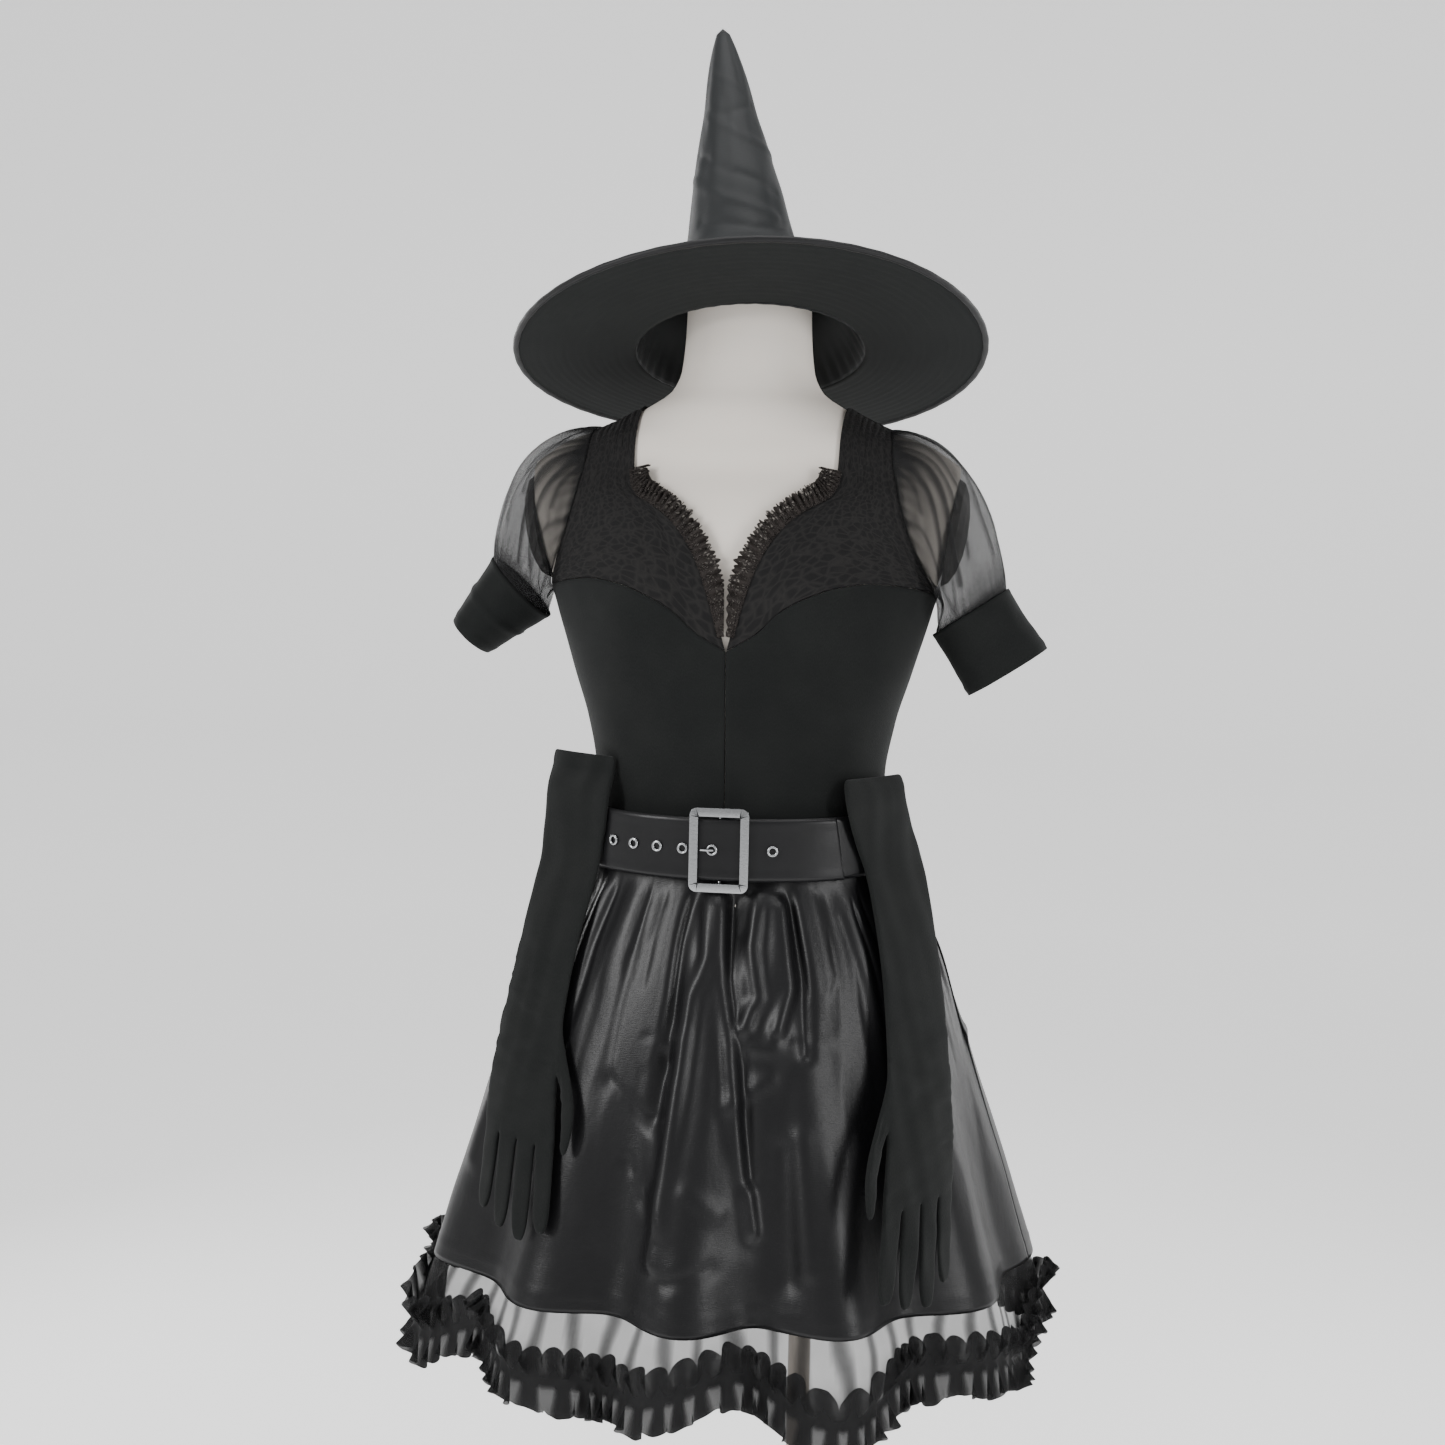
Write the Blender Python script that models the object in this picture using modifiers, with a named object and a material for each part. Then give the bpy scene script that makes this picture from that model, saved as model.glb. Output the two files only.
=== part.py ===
# Witch costume on a dress form: a pointed hat, a short dress with its belt, and two long gloves,
# on a limbless torso with a rod and a round base.
# Metres, +Z up. The front faces -Y and the wearer's left side is +X.
# The origin is on the floor, under the middle of the base.
import math
from collections import namedtuple

import bmesh
import bpy
from mathutils import Matrix, Vector

COLLECTION = "witch_costume_on_dress_form"

# Walls and clearances
CLOTH = 0.0012
SATIN = 0.0012
NET = 0.0010
SEAM = 0.0003
EASE = 0.0020            # cloth to form, below the shoulders
SEAT = 0.0014            # cloth to form, where the straps rest on the shoulders

# Dress form
NECK_TOP = 1.4382
TORSO_FOOT = 0.820
ROD_PLACE = (0.058, 0.030)
ROD_RADIUS = 0.0095
BASE_RADIUS = 0.170
BASE_HEIGHT = 0.014
ARM_PLANE_LOW = (1.197, 0.157)       # height and half width of the flat arm face
ARM_PLANE_HIGH = (1.290, 0.171)
BUST_SIDE, BUST_HEIGHT, BUST_REACH = 0.072, 1.182, 0.045
FORM_BUST_RISE, DRESS_BUST_RISE = 0.017, 0.022

# Dress
WAIST_SEAM = 0.9980
BELT_MIDDLE, BELT_WIDTH, BELT_WALL = 0.997, 0.048, 0.0018
BELT_SIDE_LIFT = 0.006
BELT_HALF, BELT_FRONT, BELT_BACK = 0.1308, 0.0943, 0.0912     # its inner face
RUFFLE_LINE = 0.612
GATHERS, GATHER_DEPTH = 24, 0.0024
FLUTES, FLUTE_DEPTH = 11, 0.0150
SKIRT_COLUMNS = 72
LACE_WAVES, LACE_WIDTH = 15, 0.0100

# Hat
BRIM_PLACE = Vector((0.0, 0.010, 1.383))
HAT_BACK_TILT, HAT_ROLL = 17.5, 3.6
BRIM_RADIUS, BINDING_RADIUS = 0.190, 0.0025
CROWN_LEAN = 0.08

Section = namedtuple("Section", "z half front back")
BODY = [
    Section(0.820, 0.150, 0.100, 0.108),
    Section(0.880, 0.158, 0.104, 0.116),
    Section(0.940, 0.141, 0.097, 0.101),
    Section(0.971, 0.127, 0.090, 0.087),
    Section(1.000, 0.119, 0.086, 0.078),
    Section(1.047, 0.115, 0.084, 0.073),
    Section(1.090, 0.122, 0.088, 0.076),
    Section(1.130, 0.134, 0.093, 0.083),
    Section(1.170, 0.146, 0.094, 0.088),
    Section(1.200, 0.155, 0.094, 0.092),
    Section(1.240, 0.172, 0.091, 0.095),
    Section(1.265, 0.180, 0.083, 0.093),
    Section(1.290, 0.1745, 0.071, 0.084),
    Section(1.302, 0.160, 0.0695, 0.080),
    Section(1.3125, 0.1425, 0.0665, 0.0765),
    Section(1.3195, 0.118, 0.0650, 0.0735),
    Section(1.3375, 0.081, 0.0590, 0.066),
    Section(1.352, 0.060, 0.0520, 0.057),
    Section(1.368, 0.053, 0.0490, 0.052),
    Section(1.400, 0.050, 0.0480, 0.050),
    Section(1.4375, 0.049, 0.0475, 0.049),
]
SKIRT = [
    Section(0.580, 0.262, 0.216, 0.224),
    Section(0.654, 0.240, 0.194, 0.202),
    Section(0.720, 0.221, 0.177, 0.185),
    Section(0.790, 0.201, 0.157, 0.163),
    Section(0.870, 0.177, 0.132, 0.136),
    Section(0.910, 0.162, 0.1185, 0.121),
    Section(0.945, 0.1435, 0.1035, 0.104),
    Section(0.971, 0.1290, 0.0922, 0.0892),
    Section(1.000, 0.1212, 0.0882, 0.0802),
]
SKIRT_ROWS = (0.654, 0.705, 0.765, 0.825, 0.885, 0.940, 0.970, 0.9975)
NET_ROWS = (0.632, 0.654, 0.705)

# Under-bust seam, by angle from the middle of the front
Seam = namedtuple("Seam", "angle z")
UNDER_BUST = [Seam(0, 1.149), Seam(9.5, 1.163), Seam(16.5, 1.180), Seam(23.5, 1.190),
              Seam(32, 1.198), Seam(44, 1.202), Seam(64, 1.199), Seam(90, 1.1925)]
# Top edge of the back, by angle from the middle of the back
BACK_TOP = [Seam(0, 1.238), Seam(44, 1.2415), Seam(50.4, 1.240), Seam(57, 1.225),
            Seam(66, 1.210), Seam(77, 1.199), Seam(90, 1.1925)]

# Cup with its strap: neckline edge and armhole edge, from the seam up to the shoulder
Cup = namedtuple("Cup", "share neck_x neck_z arm_x arm_z")
CUP = [
    Cup(0.00, 0.0008, 1.1495, 0.1525, 1.1925),
    Cup(0.10, 0.0105, 1.1850, 0.1508, 1.1990),
    Cup(0.20, 0.0200, 1.2130, 0.1455, 1.2100),
    Cup(0.30, 0.0310, 1.2340, 0.1385, 1.2250),
    Cup(0.40, 0.0450, 1.2500, 0.1325, 1.2400),
    Cup(0.50, 0.0600, 1.2605, 0.1285, 1.2540),
    Cup(0.60, 0.0725, 1.2680, 0.1255, 1.2660),
    Cup(0.70, 0.0780, 1.2800, 0.1235, 1.2775),
    Cup(0.80, 0.0790, 1.2980, 0.1210, 1.2900),
    Cup(0.85, 0.0792, 1.3090, 0.1202, 1.2978),
    Cup(0.90, 0.0795, 1.3200, 0.1195, 1.3050),
    Cup(0.925, 0.0797, 1.3262, 0.1191, 1.3100),
    Cup(0.95, 0.0800, 1.3320, 0.1187, 1.3145),
    Cup(0.98, 0.0804, 1.3365, 0.1182, 1.3185),
    Cup(1.00, 0.0808, 1.3375, 0.1180, 1.3195),
]

# Hollow cuff: middle of its top and foot in X and Z, and its half sizes across and front to back
Cuff = namedtuple("Cuff", "top_x top_z foot_x foot_z top_across top_depth foot_across foot_depth")
CUFF_LEFT = Cuff(0.183, 1.180, 0.213, 1.134, 0.032, 0.026, 0.034, 0.022)
CUFF_RIGHT = Cuff(0.184, 1.192, 0.224, 1.152, 0.031, 0.026, 0.018, 0.028)

# Crown of the hat, along its axis
Ring = namedtuple("Ring", "along radius")
CROWN = [Ring(0.0, 0.0920), Ring(0.020, 0.0840), Ring(0.045, 0.0670), Ring(0.065, 0.0555),
         Ring(0.088, 0.0453), Ring(0.145, 0.0352), Ring(0.2075, 0.0222), Ring(0.247, 0.0152),
         Ring(0.272, 0.0095), Ring(0.287, 0.0050)]
CROWN_TIP = 0.2936

# Glove: height of each row, middle in X and half width
Glove = namedtuple("Glove", "z middle half_width")
GLOVE_RIGHT = [Glove(1.062, 0.121, 0.038), Glove(1.020, 0.124, 0.037), Glove(0.970, 0.130, 0.035),
               Glove(0.920, 0.139, 0.034), Glove(0.870, 0.147, 0.035), Glove(0.830, 0.151, 0.038),
               Glove(0.800, 0.152, 0.041), Glove(0.770, 0.150, 0.042)]
GLOVE_LEFT = [Glove(1.050, 0.111, 0.036), Glove(1.010, 0.120, 0.037), Glove(0.960, 0.135, 0.036),
              Glove(0.910, 0.146, 0.036), Glove(0.860, 0.153, 0.037), Glove(0.810, 0.158, 0.039),
              Glove(0.775, 0.160, 0.042), Glove(0.745, 0.160, 0.043)]
GLOVE_WALL = 0.0026
FINGER_LENGTHS = (0.058, 0.066, 0.070, 0.060)
FINGER_SLIT = 0.0022

# Buckle and eyelets
BUCKLE_X = -0.0013
BUCKLE_WIDTH, BUCKLE_HEIGHT, BUCKLE_CORNER = 0.046, 0.065, 0.006
BUCKLE_BAR, BUCKLE_WALL = 0.0066, 0.0026
EYELET_PLACES = (-0.0860, -0.0690, -0.0500, -0.0297, -0.0068, 0.0389)
EYELET_RADIUS, EYELET_WIRE = 0.0034, 0.0010
BAR_RADIUS = 0.0011

Look = namedtuple("Look", "color rough metallic")
LOOKS = {
    "form_linen": Look((0.78, 0.73, 0.66), 0.8, 0.0),
    "form_plate": Look((0.05, 0.05, 0.05), 0.6, 0.0),
    "rod_metal": Look((0.30, 0.27, 0.24), 0.35, 1.0),
    "base_iron": Look((0.06, 0.06, 0.06), 0.5, 0.2),
    "jersey": Look((0.012, 0.012, 0.013), 0.9, 0.0),
    "lace": Look((0.05, 0.04, 0.035), 0.8, 0.0),
    "net": Look((0.06, 0.06, 0.06), 0.8, 0.0),
    "satin": Look((0.014, 0.014, 0.016), 0.35, 0.0),
    "felt": Look((0.020, 0.021, 0.022), 0.85, 0.0),
    "silver": Look((0.72, 0.73, 0.75), 0.25, 1.0),
}


def clear_scene():
    for old in list(bpy.data.objects):
        bpy.data.objects.remove(old, do_unlink=True)


def make_material(name):
    look = LOOKS[name]
    material = bpy.data.materials.get(name) or bpy.data.materials.new(name)
    material.use_nodes = True
    shader = material.node_tree.nodes["Principled BSDF"]
    shader.inputs["Base Color"].default_value = (*look.color, 1.0)
    shader.inputs["Roughness"].default_value = look.rough
    shader.inputs["Metallic"].default_value = look.metallic
    return material


def place(name, data, look):
    made = bpy.data.objects.new(name, data)
    data.materials.append(make_material(look))
    bpy.data.collections[COLLECTION].objects.link(made)
    return made


def read(rows, at, column):
    """Reads a column of a table between its rows, with a smooth curve that never overshoots."""
    keys = [row[0] for row in rows]
    values = [getattr(row, column) for row in rows]
    at = min(max(at, keys[0]), keys[-1])
    last = len(keys) - 2
    k = next((i for i in range(last + 1) if at <= keys[i + 1]), last)
    rises = [(values[i + 1] - values[i]) / (keys[i + 1] - keys[i]) for i in range(last + 1)]

    def slope(i):
        if i == 0 or i == last + 1:
            return rises[min(i, last)]
        before, after = rises[i - 1], rises[i]
        return 0.0 if before * after <= 0 else 2 * before * after / (before + after)

    step = keys[k + 1] - keys[k]
    t = (at - keys[k]) / step
    return ((2 * t**3 - 3 * t**2 + 1) * values[k] + (t**3 - 2 * t**2 + t) * step * slope(k)
            + (3 * t**2 - 2 * t**3) * values[k + 1] + (t**3 - t**2) * step * slope(k + 1))


def blend(start, end, share):
    return start + (end - start) * share


def ramp(value, low, high):
    share = min(max((value - low) / (high - low), 0.0), 1.0)
    return share * share * (3 - 2 * share)


def oval_point(rows, angle, z):
    turn = math.radians(angle)
    depth = read(rows, z, "front" if math.cos(turn) > 0 else "back")
    return Vector((read(rows, z, "half") * math.sin(turn), -depth * math.cos(turn), z))


def body_point(angle, z, bust_rise=DRESS_BUST_RISE):
    point = oval_point(BODY, angle, z)
    front = max(math.cos(math.radians(angle)), 0.0)
    away = ((abs(point.x) - BUST_SIDE) / BUST_REACH) ** 2 + ((z - BUST_HEIGHT) / BUST_REACH) ** 2
    point.y -= bust_rise * math.exp(-away) * math.sqrt(front)
    share = (z - ARM_PLANE_LOW[0]) / (ARM_PLANE_HIGH[0] - ARM_PLANE_LOW[0])
    widest = blend(ARM_PLANE_LOW[1], ARM_PLANE_HIGH[1], share)
    point.x = min(max(point.x, -widest), widest)
    return point


def skirt_wave(angle, z):
    turn = math.radians(angle)
    gathered = ramp(z, 0.972, 0.952) * ramp(z, 0.850, 0.940)
    gather = GATHER_DEPTH * gathered * math.cos(GATHERS * turn) * (0.75 + 0.25 * math.sin(5 * turn))
    swing = FLUTES * turn + 0.6 + 0.8 * math.sin(2 * turn)
    flute = FLUTE_DEPTH * ramp(z, 0.900, 0.640) * math.cos(swing) * (0.8 + 0.2 * math.sin(3 * turn + 1))
    return gather + flute


def skirt_point(angle, z):
    point = oval_point(SKIRT, angle, z)
    return point + Vector((point.x, point.y, 0)).normalized() * skirt_wave(angle, z)


def moved_out(surface, angle, z, out):
    turn, rise = 0.4, 0.0004
    across = surface(angle + turn, z) - surface(angle - turn, z)
    upward = surface(angle, z + rise) - surface(angle, z - rise)
    return surface(angle, z) + across.cross(upward).normalized() * out


def ease(z):
    return blend(EASE, SEAT, ramp(z, 1.255, 1.310))


def dress_point(angle, z, out=0.0):
    return moved_out(body_point, angle, z, ease(z) + out)


def dress_front(x, z, out=0.0):
    reach = min(max(x / read(BODY, z, "half"), -1.0), 1.0)
    return dress_point(math.degrees(math.asin(reach)), z, out)


def dress_back(x, z, out=0.0):
    reach = min(max(x / read(BODY, z, "half"), -1.0), 1.0)
    return dress_point(180 - math.degrees(math.asin(reach)), z, out)


def steps(start, end, count):
    return [blend(start, end, i / count) for i in range(count + 1)]


def mirrored(rows):
    return [[Vector((-p.x, p.y, p.z)) for p in reversed(row)] for row in rows]


def sheet(name, rows, wall, look, around=False, tip=None):
    """A wall on a grid of points: rows run upwards, columns run to the right of the outer face."""
    width = len(rows[0])
    points = [p for row in rows for p in row]
    faces = []
    for r in range(len(rows) - 1):
        for c in range(width if around else width - 1):
            n = (c + 1) % width
            faces.append((r * width + c, r * width + n, (r + 1) * width + n, (r + 1) * width + c))
    if tip is not None:
        points.append(tip)
        top = (len(rows) - 1) * width
        faces += [(top + c, top + (c + 1) % width, len(points) - 1) for c in range(width)]
    return wall_on_faces(name, points, faces, wall, look)


def wall_on_faces(name, points, faces, wall, look):
    data = bpy.data.meshes.new(name)
    data.from_pydata([tuple(p) for p in points], [], faces)
    data.shade_smooth()
    made = place(name, data, look)
    solid = made.modifiers.new("wall", "SOLIDIFY")
    solid.thickness = wall
    solid.offset = 1.0
    return made


def loft(name, rings, look):
    """A closed solid through rings that run up, each listed towards the right of its front."""
    made = bmesh.new()
    circles = [[made.verts.new(p) for p in ring] for ring in rings]
    count = len(rings[0])
    for low, high in zip(circles, circles[1:]):
        for c in range(count):
            n = (c + 1) % count
            made.faces.new((low[c], low[n], high[n], high[c]))
    made.faces.new(list(reversed(circles[0])))
    made.faces.new(circles[-1])
    data = bpy.data.meshes.new(name)
    made.to_mesh(data)
    made.free()
    data.shade_smooth()
    return place(name, data, look)


def torso():
    columns = 28
    heights = [TORSO_FOOT, 0.850, 0.895, 0.935, 0.971, 1.005, 1.047, 1.085, 1.120, 1.150, 1.172,
               1.195, 1.215, 1.240, 1.265, 1.290, 1.296, 1.302, 1.3075, 1.3125, 1.316, 1.3195,
               1.3285, 1.3375, 1.352, 1.375, NECK_TOP]
    loft("form_torso", [[body_point(360 * c / columns, z, FORM_BUST_RISE) for c in range(columns)]
                        for z in heights], "form_linen")


def arm_plates():
    depth, half_height, half_depth = 0.0140, 0.043, 0.036
    rise, run = (high - low for high, low in zip(ARM_PLANE_HIGH, ARM_PLANE_LOW))
    middle = 1.2430
    share = (middle - ARM_PLANE_LOW[0]) / rise
    for side, name in ((1, "form_arm_plate_l"), (-1, "form_arm_plate_r")):
        made = bmesh.new()
        bmesh.ops.create_uvsphere(made, u_segments=16, v_segments=8, radius=1.0)
        everything = made.verts[:] + made.edges[:] + made.faces[:]
        cut = bmesh.ops.bisect_plane(made, geom=everything, plane_co=(0, 0, 0.0001),
                                     plane_no=(0, 0, 1), clear_inner=True)
        rim = [item for item in cut["geom_cut"] if isinstance(item, bmesh.types.BMEdge)]
        bmesh.ops.contextual_create(made, geom=rim)
        bmesh.ops.scale(made, vec=(half_height, half_depth, depth), verts=made.verts)
        bmesh.ops.recalc_face_normals(made, faces=made.faces)
        data = bpy.data.meshes.new(name)
        made.to_mesh(data)
        made.free()
        data.shade_smooth()
        plate = place(name, data, "form_plate")
        lean = math.atan2(run, rise)
        plate.rotation_euler = (0, side * (math.pi / 2 + lean), 0)
        plate.location = (side * (blend(ARM_PLANE_LOW[1], ARM_PLANE_HIGH[1], share) + SEAM + 0.0002),
                          -0.002, middle)


def cylinder(name, radius, low, high, at, segments, look):
    made = bmesh.new()
    bmesh.ops.create_cone(made, cap_ends=True, segments=segments, radius1=radius, radius2=radius,
                          depth=high - low)
    data = bpy.data.meshes.new(name)
    made.to_mesh(data)
    made.free()
    data.shade_smooth()
    data.set_sharp_from_angle(angle=math.radians(40))
    solid = place(name, data, look)
    solid.location = (*at, (low + high) / 2)
    return solid


def stand():
    cylinder("form_rod", ROD_RADIUS, BASE_HEIGHT + SEAM, TORSO_FOOT - SEAM, ROD_PLACE, 20, "rod_metal")
    base = cylinder("form_base", BASE_RADIUS, 0.0, BASE_HEIGHT, (0, 0), 40, "base_iron")
    edge = base.modifiers.new("edge", "BEVEL")
    edge.width = 0.003
    edge.segments = 1
    edge.limit_method = "ANGLE"


def front_angles():
    edge = math.degrees(SEAM / 2 / 0.09)
    return steps(edge, 90 - edge, 12)


def bodice():
    lifts, angles = steps(0, 1, 6), front_angles()
    rows = [[dress_point(a, blend(WAIST_SEAM + SEAM, read(UNDER_BUST, a, "z") - 2 * SEAM, share))
             for a in angles] for share in lifts]
    sheet("bodice_front_l", rows, CLOTH, "jersey")
    sheet("bodice_front_r", mirrored(rows), CLOTH, "jersey")
    turns = steps(-angles[-1], angles[-1], 18)
    rows = [[dress_point(180 + b, blend(WAIST_SEAM + SEAM, read(BACK_TOP, abs(b), "z"), share))
             for b in turns] for share in lifts]
    sheet("bodice_back", rows, CLOTH, "jersey")


def cup_rows():
    crinkle = 0.0005
    columns = len(front_angles()) - 1
    bottom = []
    for angle in front_angles():
        z = read(UNDER_BUST, angle, "z") + 2 * SEAM
        bottom.append((read(BODY, z, "half") * math.sin(math.radians(angle)), z))
    rows = []
    for row in CUP:
        line = []
        for c in range(columns + 1):
            u = c / columns
            straight = (blend(bottom[0][0], bottom[-1][0], u), blend(bottom[0][1], bottom[-1][1], u))
            belly = (1 - row.share) ** 2.5
            x = blend(row.neck_x, row.arm_x, u) + belly * (bottom[c][0] - straight[0])
            z = blend(row.neck_z, row.arm_z, u) + belly * (bottom[c][1] - straight[1])
            line.append(dress_front(x, z, crinkle * (c % 2) if row.share else 0.0))
        rows.append(line)
    return rows


def cups():
    rows = cup_rows()
    sheet("cup_l", rows, CLOTH, "jersey")
    sheet("cup_r", mirrored(rows), CLOTH, "jersey")


def back_straps():
    low, inner, lift_out = BACK_TOP[1].z + 0.0004, 0.090, 0.0005
    rows = []
    for row in reversed([row for row in CUP if row.arm_z > low + 0.004]):
        lift = (row.arm_z - low) / (CUP[-1].arm_z - low)
        edge_x = blend(inner, CUP[-1].neck_x, lift)
        edge_z = blend(low, CUP[-1].neck_z, lift)
        rows.append([dress_back(blend(row.arm_x, edge_x, u), blend(row.arm_z, edge_z, u), lift_out)
                     for u in steps(0, 1, 4)])
    rows.append([dress_back(blend(0.1315, inner, u), low, lift_out) for u in steps(0, 1, 4)])
    rows.reverse()
    for point in rows[-1]:
        point.y += 2 * SEAM
    sheet("strap_back_l", rows, CLOTH, "jersey")
    sheet("strap_back_r", mirrored(rows), CLOTH, "jersey")


def lace():
    """A gathered strip that stands off the neckline edge of each cup, from the V to the strap."""
    start, end, steps_a_wave, rise = 0.07, 0.74, 3, 0.0018
    cup = cup_rows()
    edges = [row[0] for row in cup]
    runs = [(edges[min(n + 1, len(edges) - 1)] - edges[max(n - 1, 0)]).normalized()
            for n in range(len(edges))]
    root, tip = [], []
    for i in range(LACE_WAVES * steps_a_wave + 1):
        share = blend(start, end, i / (LACE_WAVES * steps_a_wave))
        k = next(n for n in range(len(CUP) - 1) if share <= CUP[n + 1].share)
        part = (share - CUP[k].share) / (CUP[k + 1].share - CUP[k].share)
        edge, along = edges[k].lerp(edges[k + 1], part), runs[k].lerp(runs[k + 1], part).normalized()
        aside = (cup[k][0] - cup[k][1]).lerp(cup[k + 1][0] - cup[k + 1][1], part)
        away = (aside - along * aside.dot(along)).normalized()
        normal = along.cross(away)
        wave = math.sin(i / steps_a_wave * math.tau)
        width = min(LACE_WIDTH, edge.x - 0.0014)
        root.append(edge + away * 0.0011 + normal * 0.0002)
        tip.append(edge + away * width + normal * (0.0022 + rise * wave))
    sheet("lace_l", [root, tip], NET, "lace")
    sheet("lace_r", mirrored([root, tip]), NET, "lace")


def cuff_ring(cuff, share, angle, along=0.0):
    axis = Vector((cuff.foot_x - cuff.top_x, 0, cuff.foot_z - cuff.top_z)).normalized()
    across = Vector((-axis.z, 0, axis.x))
    middle = Vector((blend(cuff.top_x, cuff.foot_x, share), -0.004,
                     blend(cuff.top_z, cuff.foot_z, share))) + axis * along
    turn = math.radians(angle)
    return (middle - across * math.cos(turn) * blend(cuff.top_across, cuff.foot_across, share)
            - Vector((0, 1, 0)) * math.sin(turn) * blend(cuff.top_depth, cuff.foot_depth, share))


def armhole_point(angle):
    """The armhole edge of the dress: 0 is under the arm, 90 in front, 180 on the shoulder."""
    share = 1 - (1 - (angle if angle <= 180 else 360 - angle) / 180) ** 1.6
    lane = 0.0022 + 0.0026 * (1 - share)
    x, z = read(CUP, share, "arm_x") + lane, read(CUP, share, "arm_z")
    reach = min(x / read(BODY, z, "half"), 1.0)
    front = math.degrees(math.asin(reach))
    point = dress_point(front if angle <= 180 else 180 - front, z, 0.0014)
    point.x = max(point.x, read(CUP, share, "arm_x") + lane)
    return point


def sleeve_point(cuff, angle, share):
    start, end = armhole_point(angle), cuff_ring(cuff, 0.0, angle)
    turn = math.radians(angle)
    top = max(-math.cos(turn), 0.0)
    under = max(math.cos(turn), 0.0)
    side = math.sin(turn)
    lead = start + Vector((0.030 + 0.023 * top - 0.018 * under, -0.014 * side, -0.004 - 0.004 * under))
    tail = end + Vector((-0.004 - 0.005 * top + 0.006 * under, -0.024 * side,
                         0.034 + 0.032 * top - 0.022 * under))
    t, s = share, 1 - share
    return s**3 * start + 3 * s * s * t * lead + 3 * s * t * t * tail + t**3 * end


def sleeves():
    columns, waves, fold = 20, 5, 0.0018
    angles = [360 * c / columns for c in range(columns)]
    for cuff, side in ((CUFF_LEFT, "l"), (CUFF_RIGHT, "r")):
        rows = []
        for share in steps(1, 0, 6):
            line = []
            for angle in angles:
                ripple = fold * math.sin(math.pi * share) * math.cos(waves * math.radians(angle))
                point = sleeve_point(cuff, angle, share)
                spread = point - Vector((0.165, 0, 1.24))
                line.append(point + spread.normalized() * ripple)
            rows.append(line)
        cuff_rows = [[cuff_ring(cuff, share, angle, 0.0014) for angle in angles]
                     for share in (1.0, 0.5, 0.0)]
        if side == "r":
            rows, cuff_rows = mirrored(rows), mirrored(cuff_rows)
        sheet("sleeve_" + side, rows, NET, "net", around=True)
        sheet("cuff_" + side, cuff_rows, CLOTH, "jersey", around=True)


def belt_out(turn):
    """How far the belt's inner face stands off the dress, where the tail laps over the other end."""
    lap = BELT_WALL + 2 * BAR_RADIUS + 3 * SEAM
    return lap * ramp(turn, -75, -25)


def belt_point(turn, height):
    angle, out = math.radians(turn), belt_out(turn)
    depth = BELT_FRONT if math.cos(angle) > 0 else BELT_BACK
    middle = BELT_MIDDLE + BELT_SIDE_LIFT * (1 - math.cos(angle)) / 2
    return Vector(((BELT_HALF + out) * math.sin(angle), -(depth + out) * math.cos(angle),
                   middle + height * BELT_WIDTH / 2))


def belt():
    tail, hidden_end = 43, -356
    slant = 4
    rows = [[], []]
    for turn in steps(hidden_end, tail, 66):
        for row, height in zip(rows, (-1, 1)):
            row.append(belt_point(turn - slant * (height + 1) / 2 * ramp(turn, 25, tail), height))
    sheet("belt", rows, BELT_WALL, "satin")


def rounded_outline(curve, width, height, corner):
    spline = curve.splines.new("POLY")
    points = []
    for k, (sx, sz) in enumerate(((1, 1), (-1, 1), (-1, -1), (1, -1))):
        for i in range(5):
            turn = math.radians(90 * k + 22.5 * i)
            points.append((sx * (width / 2 - corner) + corner * math.cos(turn),
                           sz * (height / 2 - corner) + corner * math.sin(turn)))
    spline.points.add(len(points) - 1)
    for point, (x, z) in zip(spline.points, points):
        point.co = (x, z, 0, 1)
    spline.use_cyclic_u = True


def wire(name, points, radius, look):
    curve = bpy.data.curves.new(name, "CURVE")
    curve.dimensions = "3D"
    curve.bevel_depth = radius
    curve.bevel_resolution = 2
    curve.use_fill_caps = True
    spline = curve.splines.new("POLY")
    spline.points.add(len(points) - 1)
    for point, co in zip(spline.points, points):
        point.co = (*co, 1)
    return place(name, curve, look)


def buckle():
    face = belt_point(0, 0).y - BELT_WALL - SEAM
    curve = bpy.data.curves.new("buckle_frame", "CURVE")
    curve.dimensions = "2D"
    curve.fill_mode = "BOTH"
    curve.extrude = BUCKLE_WALL / 2
    rounded_outline(curve, BUCKLE_WIDTH, BUCKLE_HEIGHT, BUCKLE_CORNER)
    rounded_outline(curve, BUCKLE_WIDTH - 2 * BUCKLE_BAR, BUCKLE_HEIGHT - 2 * BUCKLE_BAR,
                    BUCKLE_CORNER / 2)
    frame = place("buckle_frame", curve, "silver")
    frame.rotation_euler = (math.pi / 2, 0, 0)
    frame.location = (BUCKLE_X, face - BUCKLE_WALL / 2, BELT_MIDDLE)
    end = BUCKLE_HEIGHT / 2 - BUCKLE_BAR / 2
    behind = belt_point(0, 0).y + SEAM + BAR_RADIUS
    ahead = face + SEAM
    turn = 1.2 * BAR_RADIUS
    upper = [(BUCKLE_X, ahead, end), (BUCKLE_X, behind - turn, end), (BUCKLE_X, behind, end - turn)]
    lower = [(x, y, -z) for x, y, z in reversed(upper)]
    wire("buckle_bar", [(x, y, BELT_MIDDLE + z) for x, y, z in upper + lower], BAR_RADIUS, "silver")
    prong_y = face - EYELET_WIRE - 0.0008
    wire("buckle_prong", [(EYELET_PLACES[4] + 0.001, face - 0.0018, BELT_MIDDLE),
                          (EYELET_PLACES[4] - 0.003, prong_y - 0.0015, BELT_MIDDLE),
                          (-0.0155, prong_y - 0.0006, BELT_MIDDLE)], 0.0008, "silver")


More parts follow.
